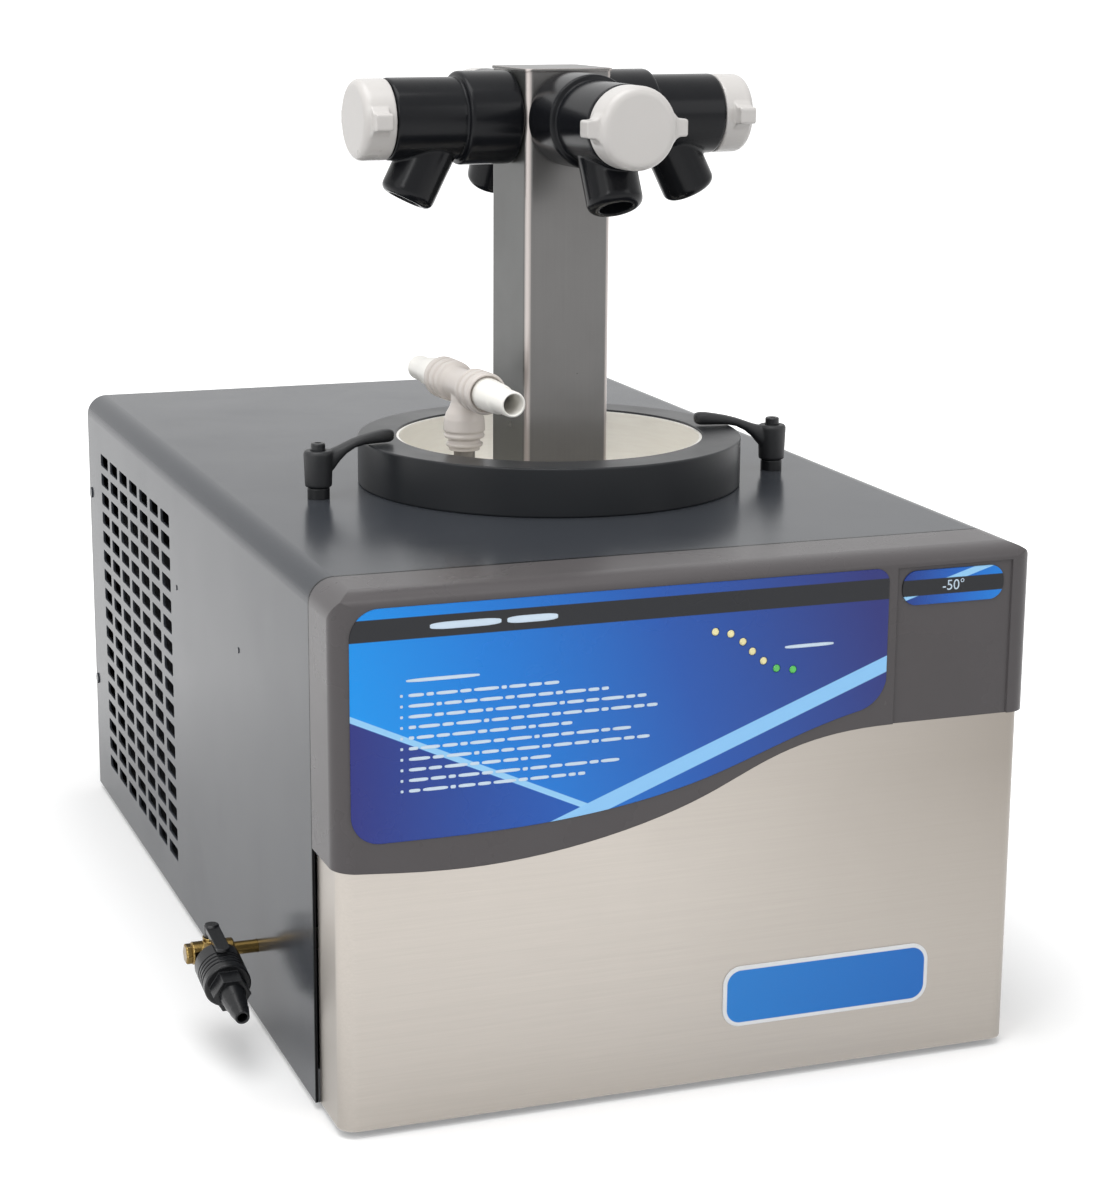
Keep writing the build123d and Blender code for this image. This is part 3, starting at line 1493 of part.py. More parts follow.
blade_chord = fan_radius * 0.48
with BuildPart() as fan_rotor:
    with BuildSketch(facing_right(hub_left_x)):
        with Locations((louvre_mid_y, condenser_mid_z)):
            Circle(fan_hub_radius)
    extrude(amount=fan_hub_length)
    for blade in range(fan_blades):
        bearing = radians(360 / fan_blades * blade)
        spoke = Vector(0, cos(bearing), sin(bearing))
        across = spoke.cross(Vector(1, 0, 0))
        lean = radians(fan_blade_pitch)
        chord = across * cos(lean) + Vector(1, 0, 0) * sin(lean)
        blade_root = Vector(shroud_right_x, louvre_mid_y, condenser_mid_z)
        with BuildSketch(Plane(origin=blade_root, x_dir=chord, z_dir=spoke)):
            Rectangle(blade_chord, fan_blade_thickness)
        extrude(amount=fan_radius + fan_blade_thickness)
    with BuildSketch(facing_right(condenser_right_x)):
        with Locations((louvre_mid_y, condenser_mid_z)):
            Circle(fan_radius)
            Circle(shaft_radius + shaft_clearance, mode=Mode.SUBTRACT)
    extrude(amount=4 * shroud_length, mode=Mode.INTERSECT)
write(fan_rotor, "fan_rotor")

# ---- refrigeration: drier and lines --------------------------------------------------
line_start_y = trap_y + sheet_gap
line_bend = 2 * line_radius + line_bend_ease
riser_y = louvre_mid_y - motor_radius - 2 * line_radius
drier_end_y = riser_y - 1.5 * line_bend
drier_start_y = drier_end_y - drier_length
run_front_y = drier_start_y - 1.5 * line_bend
low_run_z = pass_z[0]
drier_axis = Axis((coil_left_x, drier_start_y, low_run_z), (0, 1, 0))
with BuildPart() as filter_drier:
    with BuildSketch(Plane(origin=drier_axis.position, x_dir=(0, 1, 0), z_dir=(1, 0, 0))):
        with BuildLine():
            Polyline(
                (0, 0),
                (0, line_radius),
                (drier_radius, drier_radius),
                (drier_length - drier_radius, drier_radius),
                (drier_length, line_radius),
                (drier_length, 0),
                close=True,
            )
        make_face()
    revolve(axis=drier_axis)
write(filter_drier, "filter_drier")

condenser_outlet = (condenser_x, turn_front_y - line_radius - sheet_gap, low_run_z)
line_runs = (
    (
        condenser_outlet,
        (condenser_x, run_front_y, low_run_z),
        (coil_left_x, run_front_y, low_run_z),
        (coil_left_x, drier_start_y, low_run_z),
    ),
    (
        (coil_left_x, drier_end_y, low_run_z),
        (coil_left_x, riser_y, low_run_z),
        (coil_left_x, riser_y, coil_bottom_z),
        (coil_left_x, line_start_y, coil_bottom_z),
    ),
    (
        (coil_right_x, line_start_y, coil_top_z),
        (coil_right_x, compressor_y, coil_top_z),
        (coil_right_x, compressor_y, stub_top),
    ),
)
with BuildPart() as copper_lines:
    for run in line_runs:
        with BuildLine() as line_path:
            FilletPolyline(*run, radius=line_bend)
        with BuildSketch(Plane(origin=line_path.line @ 0, z_dir=line_path.line % 0)):
            Circle(condenser_tube_radius)
        sweep(path=line_path.line)
write(copper_lines, "copper_lines")

# ---- rear panel, inlet, switch and control box ---------------------------------------
rear_front_y = back_y - sheet
rear_slot_x = rear_slot_inset - cabinet_width / 2
rear_slot_span = cabinet_height - rear_slot_last_drop - rear_slot_first_z
rear_slot_rows = round(rear_slot_span / rear_slot_pitch_z) + 1
rear_slot_z = rear_slot_first_z + (rear_slot_rows - 1) * rear_slot_pitch_z / 2
switch_x = inlet_x - switch_offset
inlet_body_width = inlet_size[0] / 2 + switch_offset + switch_size[0] / 2
inlet_body_x = inlet_x + inlet_size[0] / 2 - inlet_body_width / 2
with BuildPart() as rear_panel:
    with BuildSketch(facing_front(back_y)):
        rounded_box(
            2 * pan_half_width, cabinet_height - sheet - sheet_gap, cover_bend - sheet
        )
    extrude(amount=rear_flange)
    with BuildSketch(facing_front(rear_front_y)):
        rounded_box(
            2 * (pan_half_width - sheet),
            cabinet_height - 2 * sheet - sheet_gap,
            cover_bend - 2 * sheet,
        )
    extrude(amount=rear_flange, mode=Mode.SUBTRACT)
    with BuildSketch(facing_front(rear_front_y)):
        Rectangle(cabinet_width, 2 * (pan_flange + sheet))
    extrude(amount=rear_flange, mode=Mode.SUBTRACT)
    with BuildSketch(facing_front(back_y)):
        with Locations((rear_slot_x, rear_slot_z)):
            with GridLocations(
                rear_slot_pitch_x, rear_slot_pitch_z, rear_slot_columns, rear_slot_rows
            ):
                RectangleRounded(rear_slot_length, rear_slot_height, rear_slot_corner)
        with Locations((inlet_body_x, inlet_z)):
            Rectangle(
                inlet_body_width + 2 * inlet_cut_gap, inlet_size[1] + 2 * inlet_cut_gap
            )
        with Locations(*rear_screws_xz):
            Circle(screw_shank_radius + screw_hole_gap)
    extrude(amount=sheet, mode=Mode.SUBTRACT)
    with BuildSketch(facing_right(-cabinet_width / 2)):
        with Locations(*[(side_screw_y, z) for z in side_screw_z]):
            Circle(screw_shank_radius + screw_hole_gap)
    extrude(amount=cabinet_width, mode=Mode.SUBTRACT)
write(rear_panel, "rear_panel")

flange_back_y = back_y + inlet_flange
pocket_radius = rocker_radius + rocker_gap
rocker_pivot_y = flange_back_y + rocker_proud - rocker_radius
with BuildPart() as power_inlet:
    with BuildSketch(facing_front(flange_back_y)):
        with Locations((inlet_body_x, inlet_z)):
            RectangleRounded(
                inlet_body_width + 2 * inlet_margin,
                inlet_size[1] + 2 * inlet_margin,
                inlet_corner,
            )
    extrude(amount=inlet_flange)
    with BuildSketch(facing_front(back_y)):
        with Locations((inlet_body_x, inlet_z)):
            Rectangle(inlet_body_width, inlet_size[1])
    extrude(amount=inlet_depth)
    with BuildSketch(facing_front(flange_back_y)):
        with Locations((inlet_x, inlet_z)):
            socket = Rectangle(*inlet_socket_size)
        chamfer(socket.vertices().group_by(Axis.Y)[-1], inlet_socket_bevel)
    extrude(amount=inlet_socket_depth, mode=Mode.SUBTRACT)
    with BuildSketch(facing_front(flange_back_y - inlet_socket_depth)):
        with Locations(
            (inlet_x - inlet_pin_spread, inlet_z - inlet_pin_rise),
            (inlet_x + inlet_pin_spread, inlet_z - inlet_pin_rise),
            (inlet_x, inlet_z + inlet_pin_rise),
        ):
            Rectangle(*inlet_pin_size)
    extrude(amount=-inlet_pin_length)
    with BuildSketch(facing_right(switch_x - rocker_width / 2 - rocker_gap)):
        with Locations((rocker_pivot_y, inlet_z)):
            Circle(pocket_radius)
    extrude(amount=rocker_width + 2 * rocker_gap, mode=Mode.SUBTRACT)
write(power_inlet, "power_inlet")

rocker_lean = radians(rocker_tilt)
rocker_side = Plane(
    origin=(switch_x - rocker_width / 2, rocker_pivot_y, inlet_z),
    x_dir=(0, cos(rocker_lean), sin(rocker_lean)),
    z_dir=(1, 0, 0),
)
with BuildPart() as power_rocker:
    with BuildSketch(rocker_side):
        Circle(rocker_radius)
        with BuildLine():
            Polyline(
                (2 * rocker_radius, 2 * rocker_radius),
                (rocker_radius - rocker_proud, 0),
                (2 * rocker_radius, -2 * rocker_radius),
                close=True,
            )
        make_face(mode=Mode.SUBTRACT)
    extrude(amount=rocker_width)
write(power_rocker, "power_rocker")

control_box_x = cabinet_width / 2 - control_box_inset
control_box_z = cabinet_height - control_box_drop
with BuildPart() as control_box:
    with BuildSketch(facing_front(rear_front_y)):
        with Locations((control_box_x, control_box_z)):
            RectangleRounded(control_box_width, control_box_height, control_box_corner)
    extrude(amount=control_box_depth)
    chamfer(control_box.faces().sort_by(Axis.Y)[0].edges(), control_box_edge)
write(control_box, "control_box")

with BuildPart() as cover_screws:
    for hand in (-1, 1):
        side_plane = facing_right(hand * cabinet_width / 2)
        screws_yz = [(side_screw_y, z) for z in side_screw_z]
        for places, head_radius, head_height, shank_radius in (
            (screws_yz, screw_head_radius, screw_head_height, screw_shank_radius),
            (rivets_yz, rivet_head_radius, rivet_head_height, rivet_shank_radius),
        ):
            with BuildSketch(side_plane):
                with Locations(*places):
                    Circle(head_radius)
            extrude(amount=hand * head_height)
            with BuildSketch(side_plane):
                with Locations(*places):
                    Circle(shank_radius)
            extrude(amount=-hand * 3 * sheet)
    with BuildSketch(facing_front(back_y)):
        with Locations(*rear_screws_xz):
            Circle(screw_head_radius)
    extrude(amount=-screw_head_height)
    with BuildSketch(facing_front(back_y)):
        with Locations(*rear_screws_xz):
            Circle(screw_shank_radius)
    extrude(amount=3 * sheet)
write(cover_screws, "cover_screws")
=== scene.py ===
"""Looks of a bench-top freeze dryer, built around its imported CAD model.

Lengths are in metres, and in millimetres where a name, a comment or a factor mm says so."""

import json
import math

import bmesh
import bpy
from mathutils import Euler, Matrix, Vector


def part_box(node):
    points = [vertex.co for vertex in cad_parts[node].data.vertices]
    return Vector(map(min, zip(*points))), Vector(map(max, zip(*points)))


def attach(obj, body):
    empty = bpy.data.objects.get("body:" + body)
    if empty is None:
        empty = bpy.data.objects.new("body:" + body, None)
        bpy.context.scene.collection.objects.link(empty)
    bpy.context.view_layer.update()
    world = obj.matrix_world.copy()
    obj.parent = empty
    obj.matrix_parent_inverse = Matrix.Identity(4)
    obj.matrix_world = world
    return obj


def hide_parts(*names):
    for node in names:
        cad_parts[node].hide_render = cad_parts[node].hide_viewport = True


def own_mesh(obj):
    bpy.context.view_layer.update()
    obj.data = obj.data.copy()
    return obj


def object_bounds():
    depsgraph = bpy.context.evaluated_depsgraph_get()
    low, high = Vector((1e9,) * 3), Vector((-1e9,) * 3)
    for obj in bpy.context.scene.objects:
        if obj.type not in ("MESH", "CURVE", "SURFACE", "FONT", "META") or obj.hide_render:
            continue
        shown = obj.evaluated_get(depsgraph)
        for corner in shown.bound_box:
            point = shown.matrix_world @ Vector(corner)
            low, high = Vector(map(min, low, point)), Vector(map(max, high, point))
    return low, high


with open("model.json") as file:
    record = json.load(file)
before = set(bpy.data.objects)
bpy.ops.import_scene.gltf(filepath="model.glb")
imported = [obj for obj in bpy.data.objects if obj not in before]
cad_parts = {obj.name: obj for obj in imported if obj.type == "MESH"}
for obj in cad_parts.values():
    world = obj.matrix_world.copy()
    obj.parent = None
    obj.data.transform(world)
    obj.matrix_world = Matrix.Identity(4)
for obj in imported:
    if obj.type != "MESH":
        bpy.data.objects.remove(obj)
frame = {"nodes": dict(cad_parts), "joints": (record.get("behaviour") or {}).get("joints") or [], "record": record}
cad_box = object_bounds()

mm = 0.001
joints = {joint["name"]: joint for joint in frame["joints"]}
valve_axis = joints["valve_right_turn"]["axis"]
lid_turn = math.atan2(valve_axis[1], valve_axis[0])  # how far the lid is turned about Z


# ---- colours -------------------------------------------------------------------------
def tone(red, green, blue):
    """A screen colour from 0 to 255 as the linear colour that a shader takes."""
    linear = []
    for value in (red, green, blue):
        value /= 255
        linear.append(value / 12.92 if value <= 0.04045 else ((value + 0.055) / 1.055) ** 2.4)
    return (*linear, 1.0)


def shades(colour, variation):
    """A darker and a lighter shade of a colour."""
    base = tone(*colour)
    pair = []
    for share in (1 - variation, 1 + variation):
        pair.append((*(min(value * share, 1) for value in base[:3]), 1.0))
    return pair


# ---- shader nodes: shared tools ------------------------------------------------------
def add_node(tree, kind, settings=None, **inputs):
    """A node with its settings and its inputs, each a value or the output to link.

    An input goes by its label, or by its number after an underscore."""
    node = tree.nodes.new(kind)
    for key, value in (settings or {}).items():
        setattr(node, key, value)
    for key, value in inputs.items():
        socket = node.inputs[int(key[1:]) if key[1:].isdigit() else key]
        if isinstance(value, bpy.types.NodeSocket):
            tree.links.new(value, socket)
        else:
            socket.default_value = value
    return node


def math_node(tree, operation, first, second=0.0, clamp=False):
    settings = {"operation": operation, "use_clamp": clamp}
    return add_node(tree, "ShaderNodeMath", settings, _0=first, _1=second).outputs[0]


def add_share(tree, value, other, share):
    """A value plus a share of another one."""
    return math_node(tree, "ADD", value, math_node(tree, "MULTIPLY", other, share))


def diagonal(tree, sides):
    """The length of the diagonal over two sides."""
    squared = [math_node(tree, "MULTIPLY", side, side) for side in sides]
    return math_node(tree, "SQRT", math_node(tree, "ADD", *squared))


def beyond(tree, value, middle, half):
    """How far a value lies outside a span, which is given by its middle and half its length."""
    offset = math_node(tree, "ABSOLUTE", math_node(tree, "SUBTRACT", value, middle))
    return math_node(tree, "MAXIMUM", math_node(tree, "SUBTRACT", offset, half), 0.0)


def remap(tree, value, low, high, to_low=0.0, to_high=1.0):
    """Carries a value from one range to another, stopping at the ends."""
    ranges = {"_1": low, "_2": high, "_3": to_low, "_4": to_high}
    return add_node(tree, "ShaderNodeMapRange", {"clamp": True}, _0=value, **ranges).outputs[0]


def band(tree, value, low, high, soft=0.0002):
    """A mask of 1 where a value lies between two limits."""
    above = remap(tree, value, low - soft, low + soft)
    below = remap(tree, value, high - soft, high + soft, 1.0, 0.0)
    return math_node(tree, "MULTIPLY", above, below)


def mix_colour(tree, factor, first, second):
    settings = {"data_type": "RGBA", "clamp_factor": True}
    return add_node(tree, "ShaderNodeMix", settings, _0=factor, _6=first, _7=second).outputs[2]


def ramp(tree, value, stops):
    """Colours along a value from 0 to 1, as (position, colour) stops."""
    node = add_node(tree, "ShaderNodeValToRGB", Fac=value)
    bar = node.color_ramp
    while len(bar.elements) < len(stops):
        bar.elements.new(0.5)
    for element, (position, colour) in zip(bar.elements, stops):
        element.position, element.color = position, tone(*colour)
    return node.outputs["Color"]


inner_noise, outer_noise = (0.35, 0.65), (0.3, 0.7)  # what most of a noise lies within


def noise(tree, place, scale, detail=2.0, roughness=0.5):
    """Soft random patches, as a value around one half."""
    inputs = {"Vector": place, "Scale": scale, "Detail": detail, "Roughness": roughness}
    return add_node(tree, "ShaderNodeTexNoise", **inputs).outputs[0]


def object_place(tree):
    return tree.nodes.new("ShaderNodeTexCoord").outputs["Object"]


def separate(tree, vector):
    """The X, Y and Z of a vector."""
    return add_node(tree, "ShaderNodeSeparateXYZ", _0=vector).outputs


def place_axes(tree):
    """The X, Y and Z of the surface in metres, in the frame that the whole object shares."""
    return separate(tree, object_place(tree))


# ---- shared surface effects, as node groups ------------------------------------------
def new_group(name, inputs, outputs):
    """A shader node group with named inputs (kind, default) and named outputs (kind)."""
    group = bpy.data.node_groups.new(name, "ShaderNodeTree")
    for label, (kind, default) in inputs.items():
        socket = group.interface.new_socket(label, in_out="INPUT", socket_type=kind)
        socket.default_value = default
    for label, kind in outputs.items():
        group.interface.new_socket(label, in_out="OUTPUT", socket_type=kind)
    return group, group.nodes.new("NodeGroupInput"), group.nodes.new("NodeGroupOutput")


def give_out(group, result, values):
    """Links values to the outputs of a group, by label."""
    for label, value in values.items():
        group.links.new(value, result.inputs[label])
    return group


def build_brushed():
    """Fine parallel scratches: Grain gives how fine they are along each axis."""
    group, given, result = new_group(
        "brushed grain",
        {"Grain": ("NodeSocketVector", (10, 600, 600)), "Depth": ("NodeSocketFloat", 0.1)},
        {"Streak": "NodeSocketFloat", "Normal": "NodeSocketVector"},
    )
    coarse_scale, fine_share, coarse_share, scratch_height = 0.22, 0.65, 0.35, 0.0004
    factors = {"_0": object_place(group), "_1": given.outputs["Grain"]}
    stretched = add_node(group, "ShaderNodeVectorMath", {"operation": "MULTIPLY"}, **factors).outputs[0]
    fine = noise(group, stretched, 1.0, detail=3.0, roughness=0.6)
    fine = math_node(group, "MULTIPLY", fine, fine_share)
    coarse = math_node(group, "MULTIPLY", noise(group, stretched, coarse_scale), coarse_share)
    streak = math_node(group, "ADD", fine, coarse)
    depth = given.outputs["Depth"]
    bump = add_node(group, "ShaderNodeBump", Strength=depth, Distance=scratch_height, Height=streak)
    return give_out(group, result, {"Streak": streak, "Normal": bump.outputs[0]})


def build_texture():
    """The fine texture of a moulded, cast or painted surface, with slow patches of tone."""
    group, given, result = new_group(
        "surface texture",
        {
            "Fineness": ("NodeSocketFloat", 900.0),
            "Depth": ("NodeSocketFloat", 0.1),
            "Patches": ("NodeSocketFloat", 14.0),
        },
        {"Patch": "NodeSocketFloat", "Normal": "NodeSocketVector"},
    )
    speckle_height = 0.0003
    place = object_place(group)
    speckle = noise(group, place, given.outputs["Fineness"])
    patch = noise(group, place, given.outputs["Patches"], detail=4.0, roughness=0.6)
    depth = given.outputs["Depth"]
    bump = add_node(group, "ShaderNodeBump", Strength=depth, Distance=speckle_height, Height=speckle)
    return give_out(group, result, {"Patch": patch, "Normal": bump.outputs[0]})


def build_edge_catch():
    """Finds the edges of a piece, where paint wears and corners catch the light."""
    group, given, result = new_group(
        "edge catch",
        {"Reach": ("NodeSocketFloat", 0.001), "Normal": ("NodeSocketVector", (0, 0, 0))},
        {"Edge": "NodeSocketFloat", "Normal": "NodeSocketVector"},
    )
    faint_turn, full_turn = 0.01, 0.16
    reach, normal = given.outputs["Reach"], given.outputs["Normal"]
    rounded = add_node(group, "ShaderNodeBevel", {"samples": 4}, Radius=reach, Normal=normal).outputs[0]
    flat = group.nodes.new("ShaderNodeNewGeometry").outputs["True Normal"]
    facing = add_node(group, "ShaderNodeVectorMath", {"operation": "DOT_PRODUCT"}, _0=rounded, _1=flat)
    turned_away = math_node(group, "SUBTRACT", 1.0, facing.outputs["Value"])
    edge = remap(group, turned_away, faint_turn, full_turn)
    return give_out(group, result, {"Edge": edge, "Normal": rounded})


def build_dust():
    """A little dust that settles on the surfaces that face up."""
    group, given, result = new_group(
        "settled dust",
        {"Amount": ("NodeSocketFloat", 0.2)},
        {"Dust": "NodeSocketFloat"},
    )
    steepest, drift_scale, thinnest = 0.3, 60.0, 0.15
    normal = group.nodes.new("ShaderNodeNewGeometry").outputs["Normal"]
    upward = remap(group, separate(group, normal)[2], steepest, 1.0)
    drifts = noise(group, object_place(group), drift_scale, detail=6.0, roughness=0.7)
    patchy = remap(group, drifts, 0.4, 0.75, thinnest, 1.0)
    settled = math_node(group, "MULTIPLY", upward, patchy)
    return give_out(group, result, {"Dust": math_node(group, "MULTIPLY", settled, given.outputs["Amount"])})


brushed_grain = build_brushed()
surface_texture = build_texture()
edge_catch = build_edge_catch()
settled_dust = build_dust()


# ---- painted details: print, and painted light and shade -----------------------------
# Each takes a material's tree and its colour so far, and returns the colour to use.
stripe_blue = (150, 206, 246)


def cover_gap_shade(tree, base):
    """Painted shade: a near-black band along the cover's front edge, for the shadow in the gap where it meets the
    front.
    """
    overlap, gap, soft = 0.01, 0.0014, 0.0003
    seam_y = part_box("wrap_cover")[0].y
    gap_shade_mask = band(tree, place_axes(tree)[1], seam_y - overlap, seam_y + gap, soft)
    # painted shade in the gap at the cover's front edge
    return mix_colour(tree, gap_shade_mask, base, tone(12, 12, 13))


def bezel_gap_shade(tree, base):
    """Painted shade: a thin near-black line along the bezel's back edge, for the shadow in the gap where it meets
    the cover.
    """
    overlap, line = 0.01, 0.0007
    back_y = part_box("front_bezel")[1].y
    gap_shade_mask = band(tree, place_axes(tree)[1], back_y - line, back_y + overlap)
    # painted shade in the gap at the bezel's back edge
    return mix_colour(tree, gap_shade_mask, base, tone(14, 14, 15))


def steel_painted_falloff(tree, base):
    """Painted shade: the front panel's colour a little darker towards its upper right, where its sheen falls off.
    """
    start_x, top_z, deepest, foot_share = 0.15, 0.16, 0.9, 0.1
    low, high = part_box("front_panel")
    axes = place_axes(tree)
    across = remap(tree, axes[0], low.x + start_x, high.x, 0.0, deepest)
    upwards = remap(tree, axes[2], low.z, low.z + top_z, foot_share, 1.0)
    # painted shade, deeper towards the upper right
    return mix_colour(tree, math_node(tree, "MULTIPLY", across, upwards), base, tone(132, 126, 119))


def stub_steel(tree, base):
    """Greyer steel on the stub that stands in the lid's well under the tee."""
    stub_radius, edge_width, well_depth = 0.0066, 0.0004, 0.0076
    axes = place_axes(tree)
    swivel = joints["tee_swivel"]["pos_m"]
    distance = diagonal(tree, [math_node(tree, "SUBTRACT", axes[k], swivel[k]) for k in (0, 1)])
    near = remap(tree, distance, stub_radius, stub_radius + edge_width, 1.0, 0.0)
    well_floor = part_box("wrap_cover")[1].z - well_depth
    standing = remap(tree, axes[2], well_floor, well_floor + edge_width)
    return mix_colour(tree, math_node(tree, "MULTIPLY", near, standing), base, tone(136, 132, 128))


def column_painted_light(tree, base):
    """Painted highlights on the column's rounded corners, and painted shade on its left face."""
    left_shade_share, corner_highlight_share = 0.7, 0.8
    flat = tree.nodes.new("ShaderNodeNewGeometry").outputs["True Normal"]
    settings = {"rotation_type": "Z_AXIS"}
    squared_up = add_node(tree, "ShaderNodeVectorRotate", settings, Vector=flat, Angle=-lid_turn)
    axes = separate(tree, squared_up.outputs[0])
    facing_left = remap(tree, axes[0], -0.99, -0.9, left_shade_share, 0.0)
    # painted shade on the faces that look left
    left_shaded = mix_colour(tree, facing_left, base, tone(80, 82, 80))
    slant = math_node(tree, "ABSOLUTE", math_node(tree, "MULTIPLY", axes[0], axes[1]))
    # painted highlight on the rounded corners
    return mix_colour(tree, remap(tree, slant, 0.20, 0.46, 0.0, corner_highlight_share), left_shaded, tone(206, 197, 193))


def label_art(tree, _base):
    """Blue fading to navy under a black band, with two straight pale stripes."""
    fade_lean, fade_start, fade_end = 0.35, 0.06, 0.08
    fall_slope, fall_height, fall_width, soft = 0.46, 0.062, 0.0032, 0.0003
    climb_slope, climb_height, climb_foot, climb_width = 0.38, 0.0175, 0.165, 0.0085
    deep_width, band_top, band_foot = 0.13, 0.0052, 0.0160
    low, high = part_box("control_label")
    axes = place_axes(tree)

    leaning = add_share(tree, axes[0], axes[2], fade_lean)
    across = remap(tree, leaning, low.x + fade_start, high.x + fade_end)
    fade = ((0.0, (0, 152, 240)), (0.30, (14, 122, 214)), (0.62, (28, 84, 172)), (1.0, (38, 46, 118)))
    blue = ramp(tree, across, fade)

    fall = add_share(tree, axes[2], axes[0], fall_slope)
    fall_from = low.z + fall_height + fall_slope * low.x
    corner = remap(tree, fall, fall_from - soft, fall_from + soft, 1.0, 0.0)
    deep = ((0.0, (34, 42, 122)), (1.0, (16, 92, 186)))
    blue = mix_colour(tree, corner, blue, ramp(tree, remap(tree, axes[0], low.x, low.x + deep_width), deep))
    blue = mix_colour(tree, band(tree, fall, fall_from, fall_from + fall_width), blue, tone(*stripe_blue))

    climb = add_share(tree, axes[2], axes[0], -climb_slope)
    climb_from = low.z + climb_height - climb_slope * (low.x + climb_foot)
    stripe = band(tree, climb, climb_from, climb_from + climb_width)
    blue = mix_colour(tree, stripe, blue, tone(142, 200, 246))
    black = band(tree, axes[2], high.z - band_foot, high.z - band_top)
    return mix_colour(tree, black, blue, tone(26, 28, 33))


def badge_art(tree, _base):
    """The small badge: navy fading to blue, with a pale stripe and a black band across the middle."""
    stripe_slope, stripe_rise, stripe_width, band_half = 0.30, 0.0016, 0.0036, 0.0042
    low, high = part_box("temperature_badge")
    axes = place_axes(tree)
    fade = ((0.0, (22, 50, 128)), (0.5, (24, 96, 190)), (1.0, (20, 128, 220)))
    blue = ramp(tree, remap(tree, axes[0], low.x, high.x), fade)
    lean = add_share(tree, axes[2], axes[0], -stripe_slope)
    stripe_from = high.z - stripe_slope * high.x + stripe_rise
    stripe = band(tree, lean, stripe_from, stripe_from + stripe_width)
    blue = mix_colour(tree, stripe, blue, tone(*stripe_blue))
    middle = (low.z + high.z) / 2
    black = band(tree, axes[2], middle - band_half, middle + band_half)
    return mix_colour(tree, black, blue, tone(22, 24, 29))


def blank_art(tree, _base):
    """The lower badge: a plain blue field inside a pale rim."""
    corner, rim, soft = 0.0099, 0.0022, 0.0002
    low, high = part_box("blank_badge")
    axes = place_axes(tree)
    middle, half = (low + high) / 2, (high - low) / 2
    distance = diagonal(tree, [beyond(tree, axes[k], middle[k], half[k] - corner) for k in (0, 2)])
    inside = remap(tree, distance, corner - rim - soft, corner - rim + soft, 1.0, 0.0)
    blue = ramp(tree, remap(tree, axes[0], low.x, high.x), ((0.0, (34, 124, 204)), (1.0, (22, 104, 188))))
    return mix_colour(tree, inside, tone(222, 224, 226), blue)


# ---- finishes ------------------------------------------------------------------------
def new_material(name, metallic=0.0, coat=0.0, specular=0.5):
    """A material with a Principled shader; returns it, its tree and the shader."""
    material = bpy.data.materials.new(name)
    material.use_nodes = True
    tree = material.node_tree
    shader = tree.nodes["Principled BSDF"]
    shader.inputs["Metallic"].default_value = metallic
    shader.inputs["Coat Weight"].default_value = coat
    shader.inputs["Coat Roughness"].default_value = 0.1
    shader.inputs["Specular IOR Level"].default_value = specular
    return material, tree, shader


def use_group(tree, group, **inputs):
    return add_node(tree, "ShaderNodeGroup", {"node_tree": group}, **inputs).outputs


def connect(tree, shader, colour, roughness, normal):
    """Feeds a shader with its colour, its roughness and its normal."""
    tree.links.new(colour, shader.inputs["Base Color"])
    tree.links.new(roughness, shader.inputs["Roughness"])
    tree.links.new(normal, shader.inputs["Normal"])


def plain_finish(name, colour, roughness=(0.35, 0.5), metallic=0.0, coat=0.0, fineness=900.0, depth=0.08,
                 variation=0.10, edge=None, reach=0.0008, dust=0.0, specular=0.5, paint=None):
    """Paint, plastic or rubber: texture, slow changes of tone, edges in their own colour (on most finishes
    lighter, as wear and as painted highlight) and dust.
    """
    edge_share, dust_colour = 0.5, (170, 168, 162)
    material, tree, shader = new_material(name, metallic, coat, specular)
    texture = use_group(tree, surface_texture, Fineness=fineness, Depth=depth)
    darker, lighter = shades(colour, variation)
    base = mix_colour(tree, remap(tree, texture["Patch"], *inner_noise), darker, lighter)
    if paint:
        base = paint(tree, base)
    caught = use_group(tree, edge_catch, Reach=reach, Normal=texture["Normal"])
    # Edges take their own colour: lighter on most finishes, as wear and as painted highlight.
    if edge:
        edge_wear_and_highlight = math_node(tree, "MULTIPLY", caught["Edge"], edge_share)
        base = mix_colour(tree, edge_wear_and_highlight, base, tone(*edge))
    if dust:
        settled = use_group(tree, settled_dust, Amount=dust)
        base = mix_colour(tree, settled["Dust"], base, tone(*dust_colour))
    connect(tree, shader, base, remap(tree, texture["Patch"], *outer_noise, *roughness), caught["Normal"])
    return material


def brushed_finish(name, colour, grain, roughness=(0.25, 0.42), depth=0.12, variation=0.14, edge=None,
                   reach=0.0008, metallic=1.0, smears=0.3, paint=None):
    """Brushed metal: scratches along one axis, patches of handling, and edges painted brighter as highlights."""
    smear_roughness = 0.05
    material, tree, shader = new_material(name, metallic)
    brushed = use_group(tree, brushed_grain, Grain=grain, Depth=depth)
    texture = use_group(tree, surface_texture, Patches=7.0)
    darker, lighter = shades(colour, variation)
    sheen = mix_colour(tree, remap(tree, brushed["Streak"], *inner_noise), darker, lighter)
    sheen = mix_colour(tree, remap(tree, texture["Patch"], 0.45, 0.75, 0.0, smears), sheen, darker)
    if paint:
        sheen = paint(tree, sheen)
    caught = use_group(tree, edge_catch, Reach=reach, Normal=brushed["Normal"])
    # painted highlight: caught edges take a brighter colour
    if edge:
        sheen = mix_colour(tree, caught["Edge"], sheen, tone(*edge))
    scratched = remap(tree, brushed["Streak"], *outer_noise, *roughness)
    smeared = remap(tree, texture["Patch"], *outer_noise, 0.0, smear_roughness)
    connect(tree, shader, sheen, math_node(tree, "ADD", scratched, smeared), caught["Normal"])
    return material


